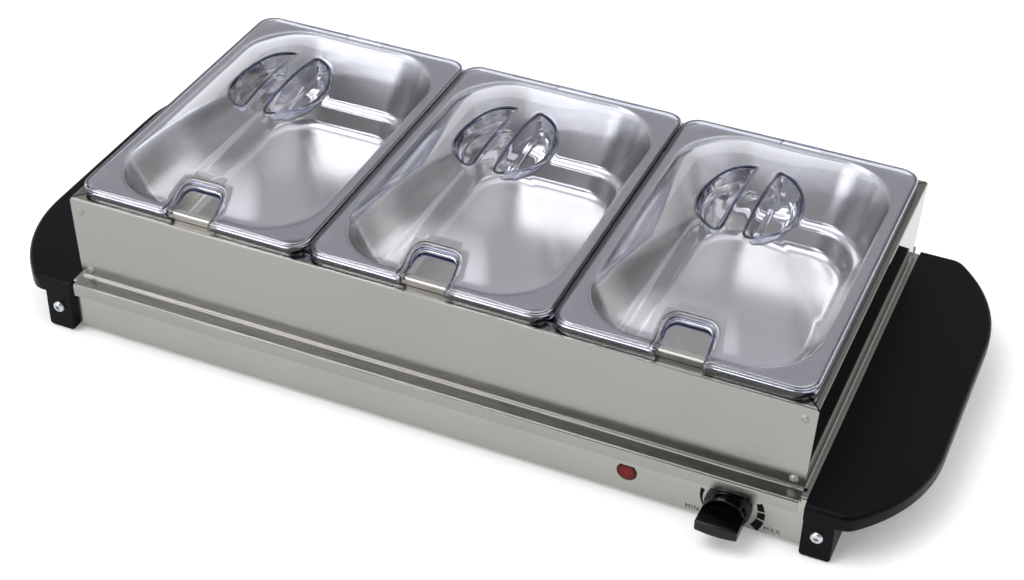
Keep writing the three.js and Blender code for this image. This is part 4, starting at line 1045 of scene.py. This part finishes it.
finishes = {
    "tray_shell": traySteel, "frame_front_wall": wallSteel, "frame_rear_wall": wallSteel,
    "frame_end_left": endSteel, "frame_end_right": endSteel, "bottom_cover": galvanised,
    "heater_board": micaBoard, "heater_insulation": glassWool, "thermostat_bracket": galvanised,
    "thermostat_body": paleUrea, "lamp_holder": blackPlastic, "cord_gland": darkRubber,
    "terminal_block": paleUrea, "thermostat_shaft": brass,
}
for name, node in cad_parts.items():
    if name in finishes:
        material = finishes[name]
    elif name.startswith("heater_strap"):
        material = galvanised
    elif name.startswith("cover_screw"):
        material = zincPlate
    elif name.startswith("rivet"):
        material = rivetSteel
    elif name.startswith("foot_pad"):
        material = darkRubber
    else:
        continue
    giveMaterial(node, material)
print("CAD pieces finished")


# studio

studio = {"yaw": 22.77, "pitch": 37.31, "roll": 1.29, "place": (434.8, -1018.4, 865.0),
          "focal": 1939.3, "width": 1024,
          "tentRim": 0.95, "tentLow": 0.51, "tentHigh": 1.5,
          "flagTowards": (0.1, -0.78, 0.62), "flagDark": 0.03,
          "lamps": [((-0.42, -0.29, 0.86), 0.9, 4.5), ((0.68, 0.52, 0.51), 0.94, 0.7),
                    ((-0.43, -0.85, 0.3), 0.94, 5)],
          "floorSeen": 0.22, "floorMirrored": 0.14}


def makeCamera():
    data = bpy.data.cameras.new("camera")
    data.sensor_width = 36
    data.lens = studio["focal"] / studio["width"] * 36
    data.clip_end = 50
    camera = bpy.data.objects.new("camera", data)
    bpy.context.scene.collection.objects.link(camera)
    turn = (Matrix.Rotation(math.radians(studio["yaw"]), 4, "Z")
            @ Matrix.Rotation(math.radians(90 - studio["pitch"]), 4, "X")
            @ Matrix.Rotation(math.radians(studio["roll"]), 4, "Z"))
    camera.matrix_world = shift(*studio["place"]) @ turn
    bpy.context.scene.camera = camera


def makeStudio():
    noSelection()
    bpy.ops.mesh.primitive_plane_add(size=12, location=(0, 0, 0))
    floor = bpy.context.object
    floor.name = "floor"
    material, tree, output = newMaterial("white paper sweep")
    shader = addNode(tree, "ShaderNodeBsdfPrincipled", {"Base Color": hexColour("f4f4f4"), "Roughness": 0.9})
    # the paper reads as white to the eye, and in metal and clear plastic, while it keeps the shadow
    path = addNode(tree, "ShaderNodeLightPath")
    seen = addNode(tree, "ShaderNodeMath", {1: studio["floorSeen"]}, {0: path.outputs["Is Camera Ray"]},
                   operation="MULTIPLY")
    mirrored = addNode(tree, "ShaderNodeMath", None,
                       {0: path.outputs["Is Glossy Ray"], 1: path.outputs["Is Transmission Ray"]},
                       operation="ADD", use_clamp=True)
    lift = addNode(tree, "ShaderNodeMath", {1: studio["floorMirrored"]},
                   {0: mirrored.outputs["Value"], 2: seen.outputs["Value"]}, operation="MULTIPLY_ADD")
    glow = addNode(tree, "ShaderNodeEmission", None, {"Strength": lift.outputs["Value"]})
    both = addNode(tree, "ShaderNodeAddShader", None, {0: shader.outputs["BSDF"], 1: glow.outputs["Emission"]})
    tree.links.new(both.outputs["Shader"], output.inputs["Surface"])
    giveMaterial(floor, material)
    # a pale tent, brighter overhead, with a dark flag above the front that folds and edges pick up
    world = bpy.data.worlds.new("studio tent")
    bpy.context.scene.world = world
    world.use_nodes = True
    tree = world.node_tree
    tree.nodes.clear()
    coord = addNode(tree, "ShaderNodeTexCoord")
    height = addNode(tree, "ShaderNodeSeparateXYZ", None, {"Vector": coord.outputs["Generated"]})
    rim = addNode(tree, "ShaderNodeMapRange",
                  {"From Min": 0.1, "From Max": 0.5, "To Min": studio["tentRim"], "To Max": studio["tentLow"]},
                  {"Value": height.outputs["Z"]}, interpolation_type="SMOOTHSTEP")
    tent = addNode(tree, "ShaderNodeMapRange",
                   {"From Min": 0.62, "From Max": 0.97, "To Max": studio["tentHigh"]},
                   {"Value": height.outputs["Z"], "To Min": rim.outputs["Result"]}, interpolation_type="SMOOTHSTEP")
    towards = addNode(tree, "ShaderNodeVectorMath", {1: studio["flagTowards"]},
                      {0: coord.outputs["Generated"]}, operation="DOT_PRODUCT")
    flag = addNode(tree, "ShaderNodeMapRange",
                   {"From Min": 0.7, "From Max": 0.9, "To Min": 1, "To Max": studio["flagDark"]},
                   {"Value": towards.outputs["Value"]}, interpolation_type="SMOOTHSTEP")
    level = addNode(tree, "ShaderNodeMath", None, {0: tent.outputs["Result"], 1: flag.outputs["Result"]},
                    operation="MULTIPLY")
    # diffused lamps behind the tent's cloth: bright in the middle, fading outwards
    for towards, edge, power in studio["lamps"]:
        facing = addNode(tree, "ShaderNodeVectorMath", {1: Vector(towards).normalized()},
                         {0: coord.outputs["Generated"]}, operation="DOT_PRODUCT")
        lampGlow = addNode(tree, "ShaderNodeMapRange",
                           {"From Min": edge, "From Max": 1, "To Min": 0, "To Max": power},
                           {"Value": facing.outputs["Value"]}, interpolation_type="SMOOTHSTEP")
        level = addNode(tree, "ShaderNodeMath", None,
                        {0: level.outputs["Value"], 1: lampGlow.outputs["Result"]}, operation="ADD")
    light = addNode(tree, "ShaderNodeBackground", {"Color": (1, 1, 1, 1)}, {"Strength": level.outputs["Value"]})
    addNode(tree, "ShaderNodeOutputWorld", None, {"Surface": light.outputs["Background"]})


makeCamera()
makeStudio()
bpy.context.scene.view_settings.view_transform = "Standard"
print("studio made")

noSelection()
